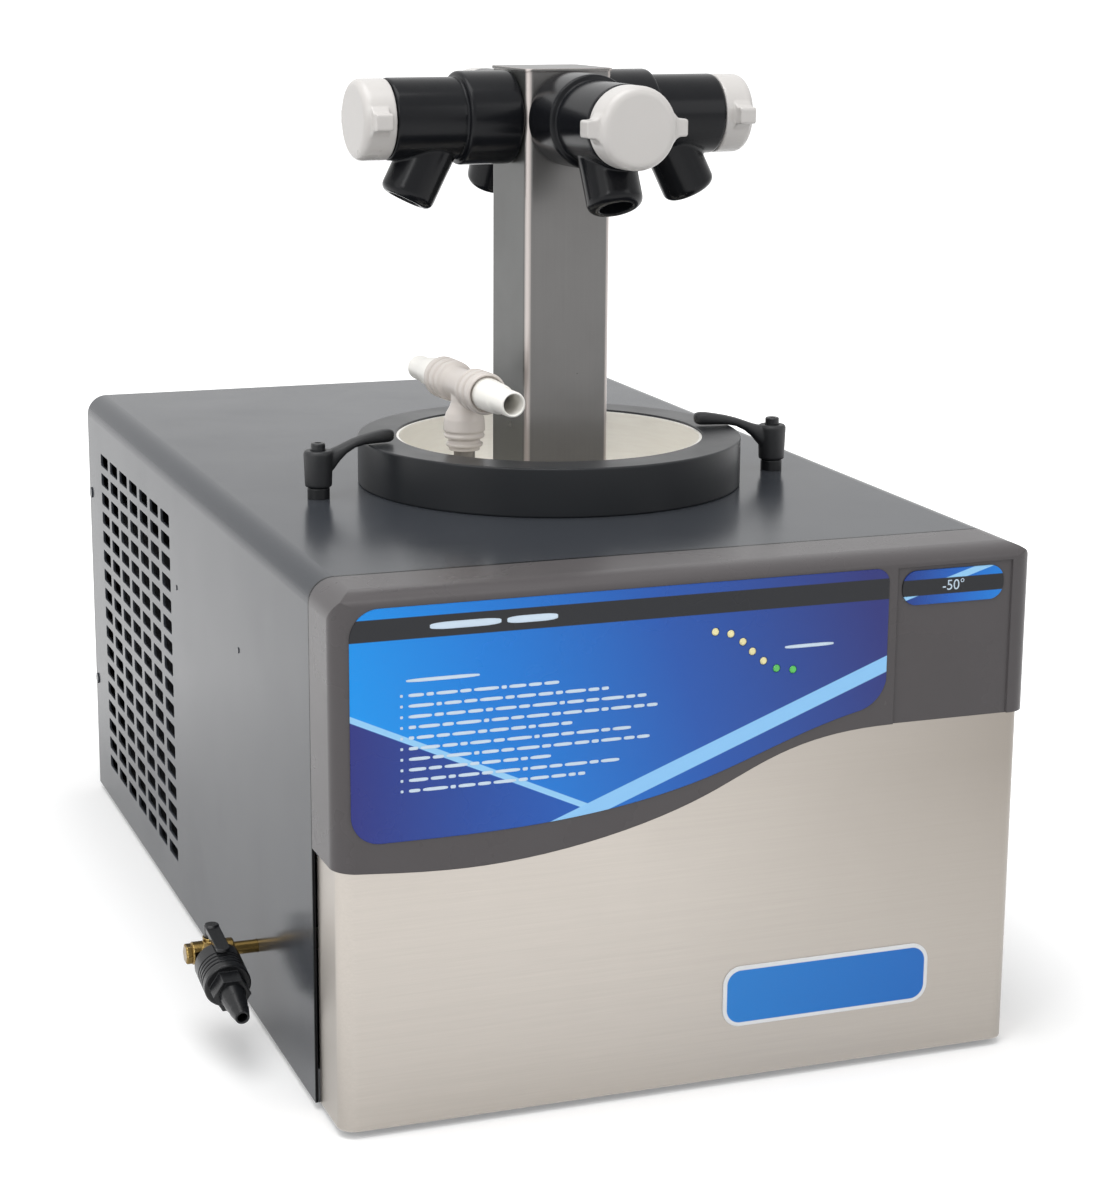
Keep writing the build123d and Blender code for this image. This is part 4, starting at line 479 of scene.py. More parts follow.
def column_finish(name):
    """Satin steel with faint upright grain, painted highlights on its corners and edges, and painted shade on its
    left face.
    """
    roughness, variation, smears = (0.26, 0.36), 0.025, 0.5
    material, tree, shader = new_material(name, metallic=0.6, specular=0.4)
    brushed = use_group(tree, brushed_grain, Grain=(2600, 2600, 30), Depth=0.02)
    texture = use_group(tree, surface_texture, Patches=16.0)
    darker, lighter = shades((112, 111, 110), variation)
    sheen = mix_colour(tree, remap(tree, brushed["Streak"], *inner_noise), darker, lighter)
    smeared = remap(tree, texture["Patch"], 0.5, 0.8, 0.0, smears)
    sheen = mix_colour(tree, smeared, sheen, tone(102, 100, 98))
    sheen = column_painted_light(tree, sheen)
    caught = use_group(tree, edge_catch, Reach=0.0008, Normal=brushed["Normal"])
    # painted highlight: caught edges take a brighter colour
    sheen = mix_colour(tree, caught["Edge"], sheen, tone(196, 188, 183))
    connect(tree, shader, sheen, remap(tree, texture["Patch"], *outer_noise, *roughness), caught["Normal"])
    return material


finish_values = {
    # the cabinet
    "cover_paint": (plain_finish, dict(
        colour=(58, 61, 66), roughness=(0.17, 0.22), specular=0.115, fineness=1500, depth=0.04,
        variation=0.02, edge=(96, 100, 106), paint=cover_gap_shade)),
    "pan_paint": (plain_finish, dict(
        colour=(70, 72, 75), roughness=(0.45, 0.6), specular=0.3, fineness=1200, edge=(130, 130, 130))),
    "foot_rubber": (plain_finish, dict(
        colour=(28, 28, 29), roughness=(0.7, 0.85), specular=0.3, fineness=700, depth=0.2)),
    "bezel_plastic": (plain_finish, dict(
        colour=(84, 81, 82), roughness=(0.24, 0.31), specular=0.15, fineness=1600, depth=0.06,
        variation=0.03, reach=0.0010, paint=bezel_gap_shade)),
    "front_steel": (brushed_finish, dict(
        colour=(176, 170, 163), grain=(30, 3600, 3600), roughness=(0.30, 0.40), depth=0.08, variation=0.05,
        edge=(236, 231, 224), reach=0.0014, paint=steel_painted_falloff)),
    # the trap, its lid and the column
    "trap_steel": (brushed_finish, dict(
        colour=(253, 250, 244), grain=(60, 60, 700), roughness=(0.32, 0.5), variation=0.03, metallic=0.65,
        smears=0.1, paint=stub_steel)),
    "column_steel": (column_finish, {}),
    "copper": (brushed_finish, dict(
        colour=(198, 126, 88), grain=(300, 300, 300), roughness=(0.25, 0.5), variation=0.25)),
    "foam": (plain_finish, dict(
        colour=(214, 204, 168), roughness=(0.8, 0.95), fineness=400, depth=0.5, variation=0.2)),
    "ring_black": (plain_finish, dict(
        colour=(34, 36, 39), roughness=(0.28, 0.38), specular=0.26, fineness=1300, depth=0.05,
        variation=0.08, edge=(66, 68, 72), dust=0.03)),
    "seal_rubber": (plain_finish, dict(colour=(40, 40, 41), roughness=(0.6, 0.8), specular=0.3)),
    # the sample valves and the tee
    "valve_rubber": (plain_finish, dict(
        colour=(20, 21, 24), roughness=(0.16, 0.24), specular=0.17, depth=0.03, variation=0.12,
        edge=(44, 46, 50), dust=0.02, reach=0.0010)),
    "knob_white": (plain_finish, dict(
        colour=(200, 197, 194), roughness=(0.24, 0.34), fineness=1100, depth=0.03, variation=0.02)),
    "tee_white": (plain_finish, dict(
        colour=(210, 203, 197), roughness=(0.30, 0.42), specular=0.4, fineness=1200, depth=0.04,
        variation=0.03, reach=0.0006)),
    "barb_white": (plain_finish, dict(
        colour=(246, 244, 238), roughness=(0.30, 0.42), specular=0.4, fineness=1200, depth=0.05,
        variation=0.02, reach=0.0006)),
    # the clamps
    "black_steel": (plain_finish, dict(
        colour=(34, 35, 37), roughness=(0.28, 0.4), metallic=0.2, specular=0.4, variation=0.12,
        edge=(96, 97, 99))),
    "handle_black": (plain_finish, dict(
        colour=(37, 38, 40), roughness=(0.40, 0.52), specular=0.4, fineness=1500, depth=0.22,
        reach=0.0010)),
    "screw_steel": (brushed_finish, dict(
        colour=(168, 168, 168), grain=(500, 500, 500), roughness=(0.2, 0.35), variation=0.2,
        edge=(210, 210, 210))),
    # the hose and the drain valve
    "hose_clear": (plain_finish, dict(colour=(206, 203, 192), roughness=(0.35, 0.5), variation=0.05)),
    "brass": (brushed_finish, dict(
        colour=(128, 106, 62), grain=(90, 90, 90), roughness=(0.14, 0.22), depth=0.015, variation=0.06,
        edge=(196, 170, 112), smears=0.5)),
    "drain_black": (plain_finish, dict(
        colour=(25, 26, 28), roughness=(0.22, 0.34), specular=0.40, variation=0.12, edge=(64, 66, 70))),
    # inside the cabinet and on its back
    "compressor_black": (plain_finish, dict(
        colour=(24, 24, 25), roughness=(0.15, 0.28), coat=0.5, variation=0.1)),
    # Near-black, partly as black-coated fins and partly as painted shade: the fins and the shroud stand for the
    # dark inside of the cabinet seen through the louvres.
    "fin_aluminium": (plain_finish, dict(
        colour=(24, 24, 26), roughness=(0.6, 0.75), specular=0.15, variation=0.15)),
    "shroud_steel": (plain_finish, dict(
        colour=(40, 41, 43), roughness=(0.45, 0.6), specular=0.3, variation=0.12, edge=(84, 85, 87))),
    "motor_steel": (plain_finish, dict(colour=(52, 52, 54), roughness=(0.5, 0.65))),
    "fan_plastic": (plain_finish, dict(colour=(38, 38, 39), roughness=(0.45, 0.6))),
    "inlet_black": (plain_finish, dict(
        colour=(30, 30, 32), roughness=(0.4, 0.55), specular=0.35, edge=(66, 66, 68))),
    "control_plastic": (plain_finish, dict(colour=(116, 118, 120), roughness=(0.5, 0.65))),
    "board_green": (plain_finish, dict(colour=(22, 84, 50), roughness=(0.3, 0.45), coat=0.3)),
    # the lamps, the label and the badges
    "lamp_amber": (plain_finish, dict(
        colour=(236, 226, 168), roughness=(0.2, 0.3), coat=0.4, edge=(120, 110, 40))),
    "lamp_green": (plain_finish, dict(
        colour=(70, 190, 76), roughness=(0.2, 0.3), coat=0.4, edge=(20, 100, 40))),
    "label_print": (plain_finish, dict(
        colour=(20, 110, 190), roughness=(0.22, 0.30), specular=0.3, depth=0.02, paint=label_art)),
    "badge_print": (plain_finish, dict(
        colour=(30, 100, 180), roughness=(0.22, 0.30), specular=0.3, depth=0.02, paint=badge_art)),
    "badge_blank": (plain_finish, dict(
        colour=(30, 100, 180), roughness=(0.22, 0.30), specular=0.3, depth=0.02, paint=blank_art)),
    "pale_ink": (plain_finish, dict(
        colour=(206, 224, 240), roughness=(0.35, 0.45), specular=0.3, depth=0.02, variation=0.03)),
}
finishes = {name: make(name, **values) for name, (make, values) in finish_values.items()}
slot_of = {entry["node"]: entry["material_slot"] for entry in frame["record"]["subparts"]}
for name, node in frame["nodes"].items():
    for slot in node.material_slots:
        slot.material = finishes[slot_of[name]]


# ---- modelled pieces: shared tools ---------------------------------------------------
def lathe(outline, steps=72):
    """Turns an outline of (height, radius) points in millimetres about local Z.

    An outline that starts and ends on the axis makes a solid, any other a tube."""
    form = bmesh.new()
    rings = []
    for height, radius in outline:
        if radius == 0:
            rings.append([form.verts.new((0, 0, height * mm))])
            continue
        ring = []
        for step in range(steps):
            angle = 2 * math.pi * step / steps
            x, y = radius * mm * math.cos(angle), radius * mm * math.sin(angle)
            ring.append(form.verts.new((x, y, height * mm)))
        rings.append(ring)
    pairs = list(zip(rings, rings[1:]))
    if outline[0][1] > 0:
        pairs.append((rings[-1], rings[0]))
    for lower, upper in pairs:
        for step in range(steps):
            after = (step + 1) % steps
            foot = [lower[k % len(lower)] for k in (step, after)]
            head = [upper[k % len(upper)] for k in (after, step)]
            corners = list(dict.fromkeys(foot + head))
            if len(corners) > 2:
                form.faces.new(corners)
    bmesh.ops.recalc_face_normals(form, faces=form.faces)
    return form


def arc(centre, radius, start, end, steps=6):
    """Points of (height, radius) on a round corner, by angles in degrees."""
    angles = [math.radians(start + (end - start) * k / steps) for k in range(steps + 1)]
    return [(centre[0] + radius * math.sin(a), centre[1] + radius * math.cos(a)) for a in angles]


def loft(sections):
    """A closed skin over a row of rings of points, all with as many points."""
    form = bmesh.new()
    rings = [[form.verts.new(point) for point in section] for section in sections]
    for lower, upper in zip(rings, rings[1:]):
        for k in range(len(lower)):
            after = (k + 1) % len(lower)
            form.faces.new((lower[k], lower[after], upper[after], upper[k]))
    form.faces.new(rings[0])
    form.faces.new(rings[-1])
    bmesh.ops.recalc_face_normals(form, faces=form.faces)
    return form


def prism(outline, low, high):
    """A closed prism on an outline of (x, y) points in millimetres, between two heights."""
    form = bmesh.new()
    base = [form.verts.new((x * mm, y * mm, low * mm)) for x, y in outline]
    top = [form.verts.new((x * mm, y * mm, high * mm)) for x, y in outline]
    form.faces.new(base)
    form.faces.new(top)
    for k in range(len(outline)):
        after = (k + 1) % len(outline)
        form.faces.new((base[k], base[after], top[after], top[k]))
    bmesh.ops.recalc_face_normals(form, faces=form.faces)
    return form


def turned(form, matrix):
    bmesh.ops.transform(form, matrix=matrix, verts=form.verts)
    return form


def loose_object(name, forms):
    """One object, linked to the scene, that holds all the given forms."""
    mesh = bpy.data.meshes.new(name)
    whole = bmesh.new()
    for form in forms:
        part = bpy.data.meshes.new("part")
        form.to_mesh(part)
        form.free()
        whole.from_mesh(part)
        bpy.data.meshes.remove(part)
    whole.to_mesh(mesh)
    whole.free()
    holder = bpy.data.objects.new(name, mesh)
    bpy.context.collection.objects.link(holder)
    return holder


def joined(name, forms):
    """One smooth-shaded mesh of all the given forms."""
    holder = loose_object(name, forms)
    mesh = holder.data
    bpy.data.objects.remove(holder)
    mesh.shade_smooth()
    return mesh


def as_mesh(name, holder):
    """The plain mesh of an object with its modifiers applied; the object is removed."""
    graph = bpy.context.evaluated_depsgraph_get()
    mesh = bpy.data.meshes.new_from_object(holder.evaluated_get(graph))
    mesh.name = name
    bpy.data.objects.remove(holder)
    return mesh


def moulded(name, solids, cuts, grain, softness, kept):
    """Joins solids, takes the cuts out, and rounds the whole as a mould would.

    grain is the size in millimetres of the net it is cast on, softness the number of
    smoothing rounds, and kept the share of faces left at the end."""
    blank = loose_object(name, solids)
    union = blank.modifiers.new("union", "REMESH")
    union.mode, union.voxel_size = "VOXEL", grain * mm
    knives = [loose_object("knife", [cut]) for cut in cuts]
    for knife in knives:
        bore = blank.modifiers.new("bore", "BOOLEAN")
        bore.operation, bore.solver, bore.object = "DIFFERENCE", "EXACT", knife
    recast = blank.modifiers.new("recast", "REMESH")
    recast.mode, recast.voxel_size = "VOXEL", grain * mm
    ease = blank.modifiers.new("ease", "SMOOTH")
    ease.factor, ease.iterations = 0.5, softness
    thin = blank.modifiers.new("thin", "DECIMATE")
    thin.ratio = kept
    mesh = as_mesh(name, blank)
    for knife in knives:
        bpy.data.objects.remove(knife)
    mesh.shade_smooth()
    return mesh


def piece(name, mesh, body, finish, stands_for=()):
    """A finished piece: the body that it rides on, its finish and the nodes that it replaces.

    The slot is the finish's own."""
    shown = bpy.data.objects.new(name, mesh)
    bpy.context.collection.objects.link(shown)
    mesh.materials.clear()
    mesh.materials.append(finishes[finish])
    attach(shown, body)
    if stands_for:
        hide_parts(*stands_for)
    return shown


to_x = Matrix.Rotation(math.pi / 2, 4, "Y")
to_y = Matrix.Rotation(math.pi / 2, 4, "X")
upside_down = Matrix.Rotation(math.pi, 4, "X")


# ---- sample valves and their knobs: sizes in millimetres from the column's axis ------
column_low, column_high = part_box("manifold_column")
column_middle = (column_low + column_high) / 2
column_face, valve_end, knob_start, knob_end = 25.7, 98.5, 98.95, 117.0
port_from, port_tilt = 65.0, math.radians(27)
port_lean = Matrix.Translation((port_from * mm, 0, 0)) @ Matrix.Rotation(math.pi - port_tilt, 4, "Y")


def valve_mesh():
    """A rubber valve along local X: a wide shoulder, a body and a port that leans out."""
    body = [(column_face, 0), (column_face, 22.9), *arc((28.4, 22.8), 2.7, -90, 0, 5)]
    body += [*arc((55.7, 23.7), 1.8, 0, 90, 4), (57.5, 22.0), (58.4, 21.9), (59.0, 22.3)]
    body += [*arc((97.3, 21.1), 1.2, 0, 90, 4), (valve_end, 0)]
    hollow = [(20, 0), (20, 17.2), (56, 17.2), (56, 15.1), (105, 15.1), (105, 0)]
    port = [(0, 0), (0, 15.4), (30, 15.2), *arc((44.6, 10.8), 4.4, 0, 90), (49, 0)]
    bore = [(0, 0), (0, 9.0), (60, 9.0), (60, 0)]
    solids = [turned(lathe(body, 96), to_x), turned(lathe(port), port_lean)]
    cuts = [turned(lathe(hollow, 96), to_x), turned(lathe(bore, 48), port_lean)]
    return moulded("valve", solids, cuts, grain=0.5, softness=4, kept=0.3)


def knob_mesh():
    """A knob along local X: a plug inside the valve, a bevelled cap and two ears."""
    cap = [(knob_start, 0), (knob_start, 21.6), (99.6, 22.0), (108.0, 22.0)]
    cap += [*arc((112.4, 17.4), 4.6, 0, 90, 8), (knob_end, 0)]
    plug = [(62, 11.4), (62, 14.85), (100, 14.85), (100, 11.4)]
    half_ear = [(15.0, -12.5), (21.2, -7.4), (22.6, -5.7), (24.4, -4.7), (28.2, -4.6), (29.0, -3.8)]
    ear = half_ear + [(y, -z) for y, z in reversed(half_ear)]
    ear_from, ear_to = 103.8, 113.6
    across = Matrix.Rotation(math.pi / 2, 4, "Z") @ to_y
    ears = [turned(prism([(side * y, z) for y, z in ear], ear_from, ear_to), across) for side in (1, -1)]
    bore = [(0, 0), (0, 9.6), (60, 9.6), (60, 0)]
    solids = [turned(lathe(cap, 96), to_x), turned(lathe(plug), to_x), *ears]
    return moulded("knob", solids, [turned(lathe(bore, 48), port_lean)], grain=0.45, softness=6, kept=0.3)


def make_valves():
    valve, knob = valve_mesh(), knob_mesh()
    up = Vector((0, 0, 1))
    for side in ("right", "back", "left", "front"):
        joint = joints[f"valve_{side}_turn"]
        outward = Vector(joint["axis"])
        origin = Vector((column_middle.x, column_middle.y, joint["pos_m"][2]))
        facing = Matrix((outward, up.cross(outward), up)).transposed().to_4x4()
        rows = (("body", valve, "cabinet", "valve_rubber"), ("knob", knob, f"knob_{side}", "knob_white"))
        for kind, mesh, body, finish in rows:
            own = mesh.copy()
            own.transform(Matrix.Translation(origin) @ facing)
            piece(f"sample_valve_{kind}_{side}", own, body, finish, [f"valve_{kind}_{side}"])


# ---- clamp levers and their springs --------------------------------------------------
lever_aims = {"left": math.radians(12), "right": math.radians(170)}


def handle_mesh():
    """A clamp lever along local X, from its pivot on local Z: a hub and a curved arm."""
    points_round, fullness = 24, 0.75
    hub = [(6.5, 0), (6.5, 6.9), (7.3, 7.5), (25.4, 8.1), (26.9, 7.2), (26.9, 0)]
    arm_mm = (  # along the arm: distance, underside, top and half width
        (0.0, 11.5, 26.6, 5.4), (5.0, 12.6, 26.6, 5.3), (8.5, 15.6, 26.9, 5.0), (12.0, 19.8, 27.8, 4.7),
        (16.5, 23.6, 29.4, 4.3), (22.0, 26.4, 31.3, 4.1), (28.0, 27.5, 32.9, 4.1), (35.0, 27.6, 34.2, 4.3),
        (40.5, 27.6, 35.0, 4.7), (44.0, 27.7, 35.1, 4.4), (46.2, 28.6, 34.4, 3.3), (47.0, 30.0, 33.2, 1.4),
    )
    sections = []
    for x, under, over, half in arm_mm:
        middle, rise = (under + over) / 2, (over - under) / 2
        section = []
        for step in range(points_round):
            angle = 2 * math.pi * step / points_round
            parts = (math.cos(angle), math.sin(angle))
            wide, tall = (math.copysign(abs(part) ** fullness, part) for part in parts)
            section.append((x * mm, half * mm * wide, (middle + rise * tall) * mm))
        sections.append(section)
    seat = [(17.0, 0), (17.0, 4.2), (30, 4.2), (30, 0)]
    shaft = [(5.0, 0), (5.0, 2.2), (18, 2.2), (18, 0)]
    socket = [(5.0, 0), (5.0, 5.7), (15.2, 5.7), (15.2, 0)]
    cuts = [lathe(seat, 40), lathe(shaft, 24), lathe(socket, 40)]
    return moulded("handle", [lathe(hub), loft(sections)], cuts, grain=0.36, softness=5, kept=0.35)


def make_handles():
    mesh = handle_mesh()
    for side, aim in lever_aims.items():
        pivot = Vector(joints[f"clamp_{side}_turn"]["pos_m"])
        own = mesh.copy()
        own.transform(Matrix.Translation(pivot) @ Matrix.Rotation(aim, 4, "Z"))
        piece(f"clamp_lever_{side}", own, f"clamp_grip_{side}", "handle_black", [f"clamp_handle_{side}"])


def coil(low, high, wire, turns=4, steps=26, spokes=8):
    """A wire coil of a given wire radius that fills the box between two corners."""
    middle = (low + high) / 2
    radius, rise = (high.x - low.x) / 2 - wire, high.z - low.z - 2 * wire
    spoke_angles = [2 * math.pi * k / spokes for k in range(spokes)]
    sections = []
    for step in range(turns * steps + 1):
        angle = 2 * math.pi * step / steps
        outward = Vector((math.cos(angle), math.sin(angle), 0))
        core = Vector((middle.x, middle.y, low.z + wire + rise * step / (turns * steps)))
        sections.append([
            core + outward * (radius + wire * math.cos(spoke)) + Vector((0, 0, wire * math.sin(spoke)))
            for spoke in spoke_angles
        ])
    return loft(sections)


def make_springs():
    """A coil in each lever's hub, up against the screw's head; it rides on the clamp's turning part and keeps its
    shape.
    """
    for side in ("left", "right"):
        low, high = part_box(f"clamp_spring_{side}")
        name = f"clamp_coil_{side}"
        mesh = joined(name, [coil(low, high, wire=0.35 * mm)])
        shown = piece(name, mesh, f"clamp_turn_{side}", "screw_steel", [f"clamp_spring_{side}"])
        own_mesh(shown)


# ---- dust filter: sizes in millimetres -----------------------------------------------
def make_filters():
    """Pleated sheets inside the right-hand louvres and the rear slots; air passes through them."""
    pleat, depth, sheet, skin = 3.0, 2.6, 0.7, 2.4
    side_start, side_folds, side_foot, side_top = 262, 76, 20, 245
    rear_start, rear_folds, rear_foot, rear_top = 160, 46, 76, 224
    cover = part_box("wrap_cover")[1] / mm
    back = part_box("rear_panel")[1].y / mm
    side = [(cover.x - skin - depth * (k % 2), cover.y - side_start + pleat * k) for k in range(side_folds)]
    rear = [(-rear_start + pleat * k, back - skin - depth * (k % 2)) for k in range(rear_folds)]
    mesh = joined("air_filters", [
        prism(side + [(x - sheet, y) for x, y in reversed(side)], side_foot, side_top),
        prism(rear + [(x, y - sheet) for x, y in reversed(rear)], rear_foot, rear_top),
    ])
    mesh.shade_flat()
    piece("air_filters", mesh, "cabinet", "seal_rubber")


# ---- vacuum tee: sizes in millimetres ------------------------------------------------
def tee_mesh():
    """A push-fit tee: its run along local Y, its leg down, with ribs on each collar."""
    collar = [(10.6, 8.6), (12.6, 9.6), (13.4, 11.2), (16.7, 11.5), (17.4, 9.9), (19.4, 9.9), (20.1, 11.5)]
    collar += [(24.8, 11.6), (25.5, 9.9), (27.5, 9.9), (28.2, 11.6), (32.4, 11.6), (33.5, 11.2), (34, 10.6)]
    other_collar = [(-h, r) for h, r in reversed(collar)]
    run = [(-34, 0), *other_collar, (-7, 8.5), (0, 8.5), (7, 8.5), *collar, (34, 0)]
    leg = [(0, 0), (0, 7.4), (9.5, 7.4), (12, 8.2), (15, 10.0), (18.5, 11.2), (25.0, 11.6), (25.6, 10.6)]
    leg += [(26.8, 10.6), (27.4, 11.4), (28.8, 11.0), (29.6, 8.8), (31.4, 8.8), (32.0, 10.4), (33.3, 10.2)]
    leg += [(34, 9.5), (34, 0)]
    bore = [(15, 4.6), (15, 6.25), (32.5, 6.25), (32.5, 9.9), (36, 9.9), (36, 0)]
    through = [(-h, r) for h, r in reversed(bore)] + bore
    below = [(0, 0), (0, 4.6), (15, 4.6), (15, 6.25), (36, 6.25), (36, 0)]
    solids = [turned(lathe(run), to_y), turned(lathe(leg), upside_down)]
    cuts = [turned(lathe(through, 40), to_y), turned(lathe(below, 40), upside_down)]
    return moulded("tee", solids, cuts, grain=0.36, softness=1, kept=0.4)


def barb_mesh():
    """The two hose barbs at the ends of the tee's run, each a stepped tube."""
    barb = [(16, 4.6), (16, 6.1), (32.2, 6.1), (32.2, 8.9), (37.0, 8.85), (52.0, 8.15), (52.6, 7.9)]
    barb += [(53.1, 7.3), (53.8, 7.1), (69.6, 7.0), (70.3, 6.85), (70.8, 6.5), (71, 6.1), (70.8, 5.7)]
    barb += [(70, 5.5), (60, 5.3)]
    sides = [Matrix.Rotation(side * math.pi / 2, 4, "X") for side in (1, -1)]
    return joined("tee_barbs", [turned(lathe(barb, 64), side) for side in sides])


def make_tee():
    place = Matrix.Translation(joints["tee_swivel"]["pos_m"]) @ Matrix.Rotation(lid_turn, 4, "Z")
    rows = (
        ("vacuum_tee", tee_mesh(), "tee_white", "tee_body"),
        ("tee_barbs", barb_mesh(), "barb_white", "hose_barbs"),
    )
    for name, mesh, finish, node in rows:
        mesh.transform(place)
        piece(name, mesh, "tee", finish, [node])


# ---- repeated pieces, set out by geometry nodes --------------------------------------
def layout_tree(name):
    """A tree that puts a Unit on each point, stretched by the point's span, in one Finish."""
    tree = bpy.data.node_groups.new(name, "GeometryNodeTree")
    tree.interface.new_socket("Geometry", in_out="INPUT", socket_type="NodeSocketGeometry")
    unit = tree.interface.new_socket("Unit", in_out="INPUT", socket_type="NodeSocketObject")
    finish = tree.interface.new_socket("Finish", in_out="INPUT", socket_type="NodeSocketMaterial")
    tree.interface.new_socket("Geometry", in_out="OUTPUT", socket_type="NodeSocketGeometry")
    given = tree.nodes.new("NodeGroupInput").outputs
    result = tree.nodes.new("NodeGroupOutput").inputs
    info = add_node(tree, "GeometryNodeObjectInfo", Object=given["Unit"]).outputs
    settings = {"data_type": "FLOAT_VECTOR"}
    span = add_node(tree, "GeometryNodeInputNamedAttribute", settings, Name="span").outputs
    copies = {"Points": given["Geometry"], "Instance": info["Geometry"], "Scale": span["Attribute"]}
    spread = add_node(tree, "GeometryNodeInstanceOnPoints", **copies).outputs
    real = add_node(tree, "GeometryNodeRealizeInstances", Geometry=spread["Instances"]).outputs
    coated = {"Geometry": real["Geometry"], "Material": given["Finish"]}
    dressed = add_node(tree, "GeometryNodeSetMaterial", **coated).outputs
    tree.links.new(dressed["Geometry"], result["Geometry"])
    return tree, unit.identifier, finish.identifier


def set_out(name, form, places, spans, finish):
    """Puts a copy of a form at each place, stretched by its span, as one plain mesh."""
    points = bpy.data.meshes.new(name)
    points.from_pydata([tuple(place) for place in places], [], [])
    stretch = points.attributes.new("span", "FLOAT_VECTOR", "POINT")
    for k, span in enumerate(spans):
        stretch.data[k].vector = span
    holder = bpy.data.objects.new(name, points)
    bpy.context.collection.objects.link(holder)
    unit = loose_object("unit", [form])
    tree, unit_input, finish_input = layout_tree(f"{name} layout")
    layout = holder.modifiers.new("layout", "NODES")
    layout.node_group = tree
    layout[unit_input] = unit
    layout[finish_input] = finishes[finish]
    mesh = as_mesh(name, holder)
    bpy.data.objects.remove(unit)
    return mesh


def rounded_plate(corner, steps=4):
    """A unit plate, one metre each way about its centre, with round corners in X and Z."""
    outline = []
    for quarter in range(4):
        cx = (0.5 - corner) * (1 if quarter in (0, 3) else -1)
        cz = (0.5 - corner) * (1 if quarter in (0, 1) else -1)
        for step in range(steps + 1):
            angle = math.pi / 2 * (quarter + step / steps)
            outline.append((cx + corner * math.cos(angle), cz + corner * math.sin(angle)))
    form = prism([(x / mm, z / mm) for x, z in outline], -0.5 / mm, 0.5 / mm)
    return turned(form, to_y)


def make_fins():
    """The condenser as a close stack of thin fins between two end plates."""
    fins, fin_thickness, plate_thickness = 86, 0.35 * mm, 1.8 * mm
    end_inset, stack_foot = 1 * mm, 22.5 * mm
    low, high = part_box("condenser_fins")
    middle, size = (low + high) / 2, high - low
    stack_low = low.z + stack_foot
    height = high.z - stack_low
    centre_z = stack_low + height / 2
    pitch = (size.y - 2 * end_inset) / (fins - 1)
    places = [(middle.x, low.y + end_inset + k * pitch, centre_z) for k in range(fins)]
    spans = [(size.x, fin_thickness, height)] * fins
    for end_y in (low.y + end_inset, high.y - end_inset):
        places.append((middle.x, end_y, middle.z))
        spans.append((size.x, plate_thickness, size.z))
    mesh = set_out("condenser_fin_stack", rounded_plate(corner=0.02), places, spans, "fin_aluminium")
    piece("condenser_fin_stack", mesh, "cabinet", "fin_aluminium", ["condenser_fins"])


# ---- print on the label and the badge ------------------------------------------------
ink_proud = 0.03 * mm


def make_print():
    """Pale bars that stand for printed lines on the label, and two on its black band."""
    low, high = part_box("control_label")
    face_y = low.y - ink_proud
    left, right, top = low.x / mm, high.x / mm, high.z / mm
    title_drop, name_drop, text_drop, row_pitch = 10.6, 36.5, 43.8, 5.3
    bullet_x, bullet, text_x, word_gap, word_height, least_word = 25.6, 1.4, 28.5, 1.3, 1.7, 3
    # each bar in millimetres: x and z of its middle, length and height
    bars = [(left + 46.5, top - name_drop, 37, 1.8), (right - 44, top - name_drop, 27, 1.8)]
    bars += [(left + 58, top - title_drop, 36, 3.6), (left + 92, top - title_drop, 26, 3.6)]
    word_mm = (9, 5, 12, 7, 14, 4, 10, 8, 13, 6, 11)
    row_mm = (78, 104, 124, 130, 86, 118, 126, 76, 110, 92)
    for row, length in enumerate(row_mm):
        z = top - text_drop - row_pitch * row
        bars.append((left + bullet_x, z, bullet, bullet))
        spent = 0
        for k in range(len(word_mm) * 2):
            word = min(word_mm[(k + 4 * row) % len(word_mm)], length - spent)
            if word < least_word:
                break
            bars.append((left + text_x + spent + word / 2, z, word - word_gap, word_height))
            spent += word
    places = [(x * mm, face_y, z * mm) for x, z, _, _ in bars]
    spans = [(length * mm, 2 * ink_proud, height * mm) for _, _, length, height in bars]
    mesh = set_out("label_bars", rounded_plate(corner=0.3), places, spans, "pale_ink")
    piece("label_bars", mesh, "cabinet", "pale_ink")


def make_numerals():
    """The trap's temperature in plain numbers on the small badge."""
    low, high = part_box("temperature_badge")
    centre = (low + high) / 2
    font = bpy.data.curves.new("numerals", "FONT")
    font.body = "-50°"
    font.size = 7.6 * mm
    font.extrude = ink_proud
    font.align_x, font.align_y = "CENTER", "CENTER"
    holder = bpy.data.objects.new("numerals", font)
    bpy.context.collection.objects.link(holder)
    mesh = as_mesh("badge_numerals", holder)
    mesh.transform(Matrix.Translation((centre.x, low.y - ink_proud, centre.z)) @ to_y)
    piece("badge_numerals", mesh, "cabinet", "pale_ink")


make_valves()
make_handles()
make_springs()
make_filters()
make_tee()
make_fins()
make_print()
make_numerals()


# ---- floor, light and camera ---------------------------------------------------------
def seen_directly(tree):
    """1 for what the camera, a mirror or clear material sees, 0 for light on surfaces."""
    path = tree.nodes.new("ShaderNodeLightPath").outputs
    seen = math_node(tree, "ADD", path["Is Camera Ray"], path["Is Glossy Ray"], clamp=True)
    return math_node(tree, "ADD", seen, path["Is Transmission Ray"], clamp=True)


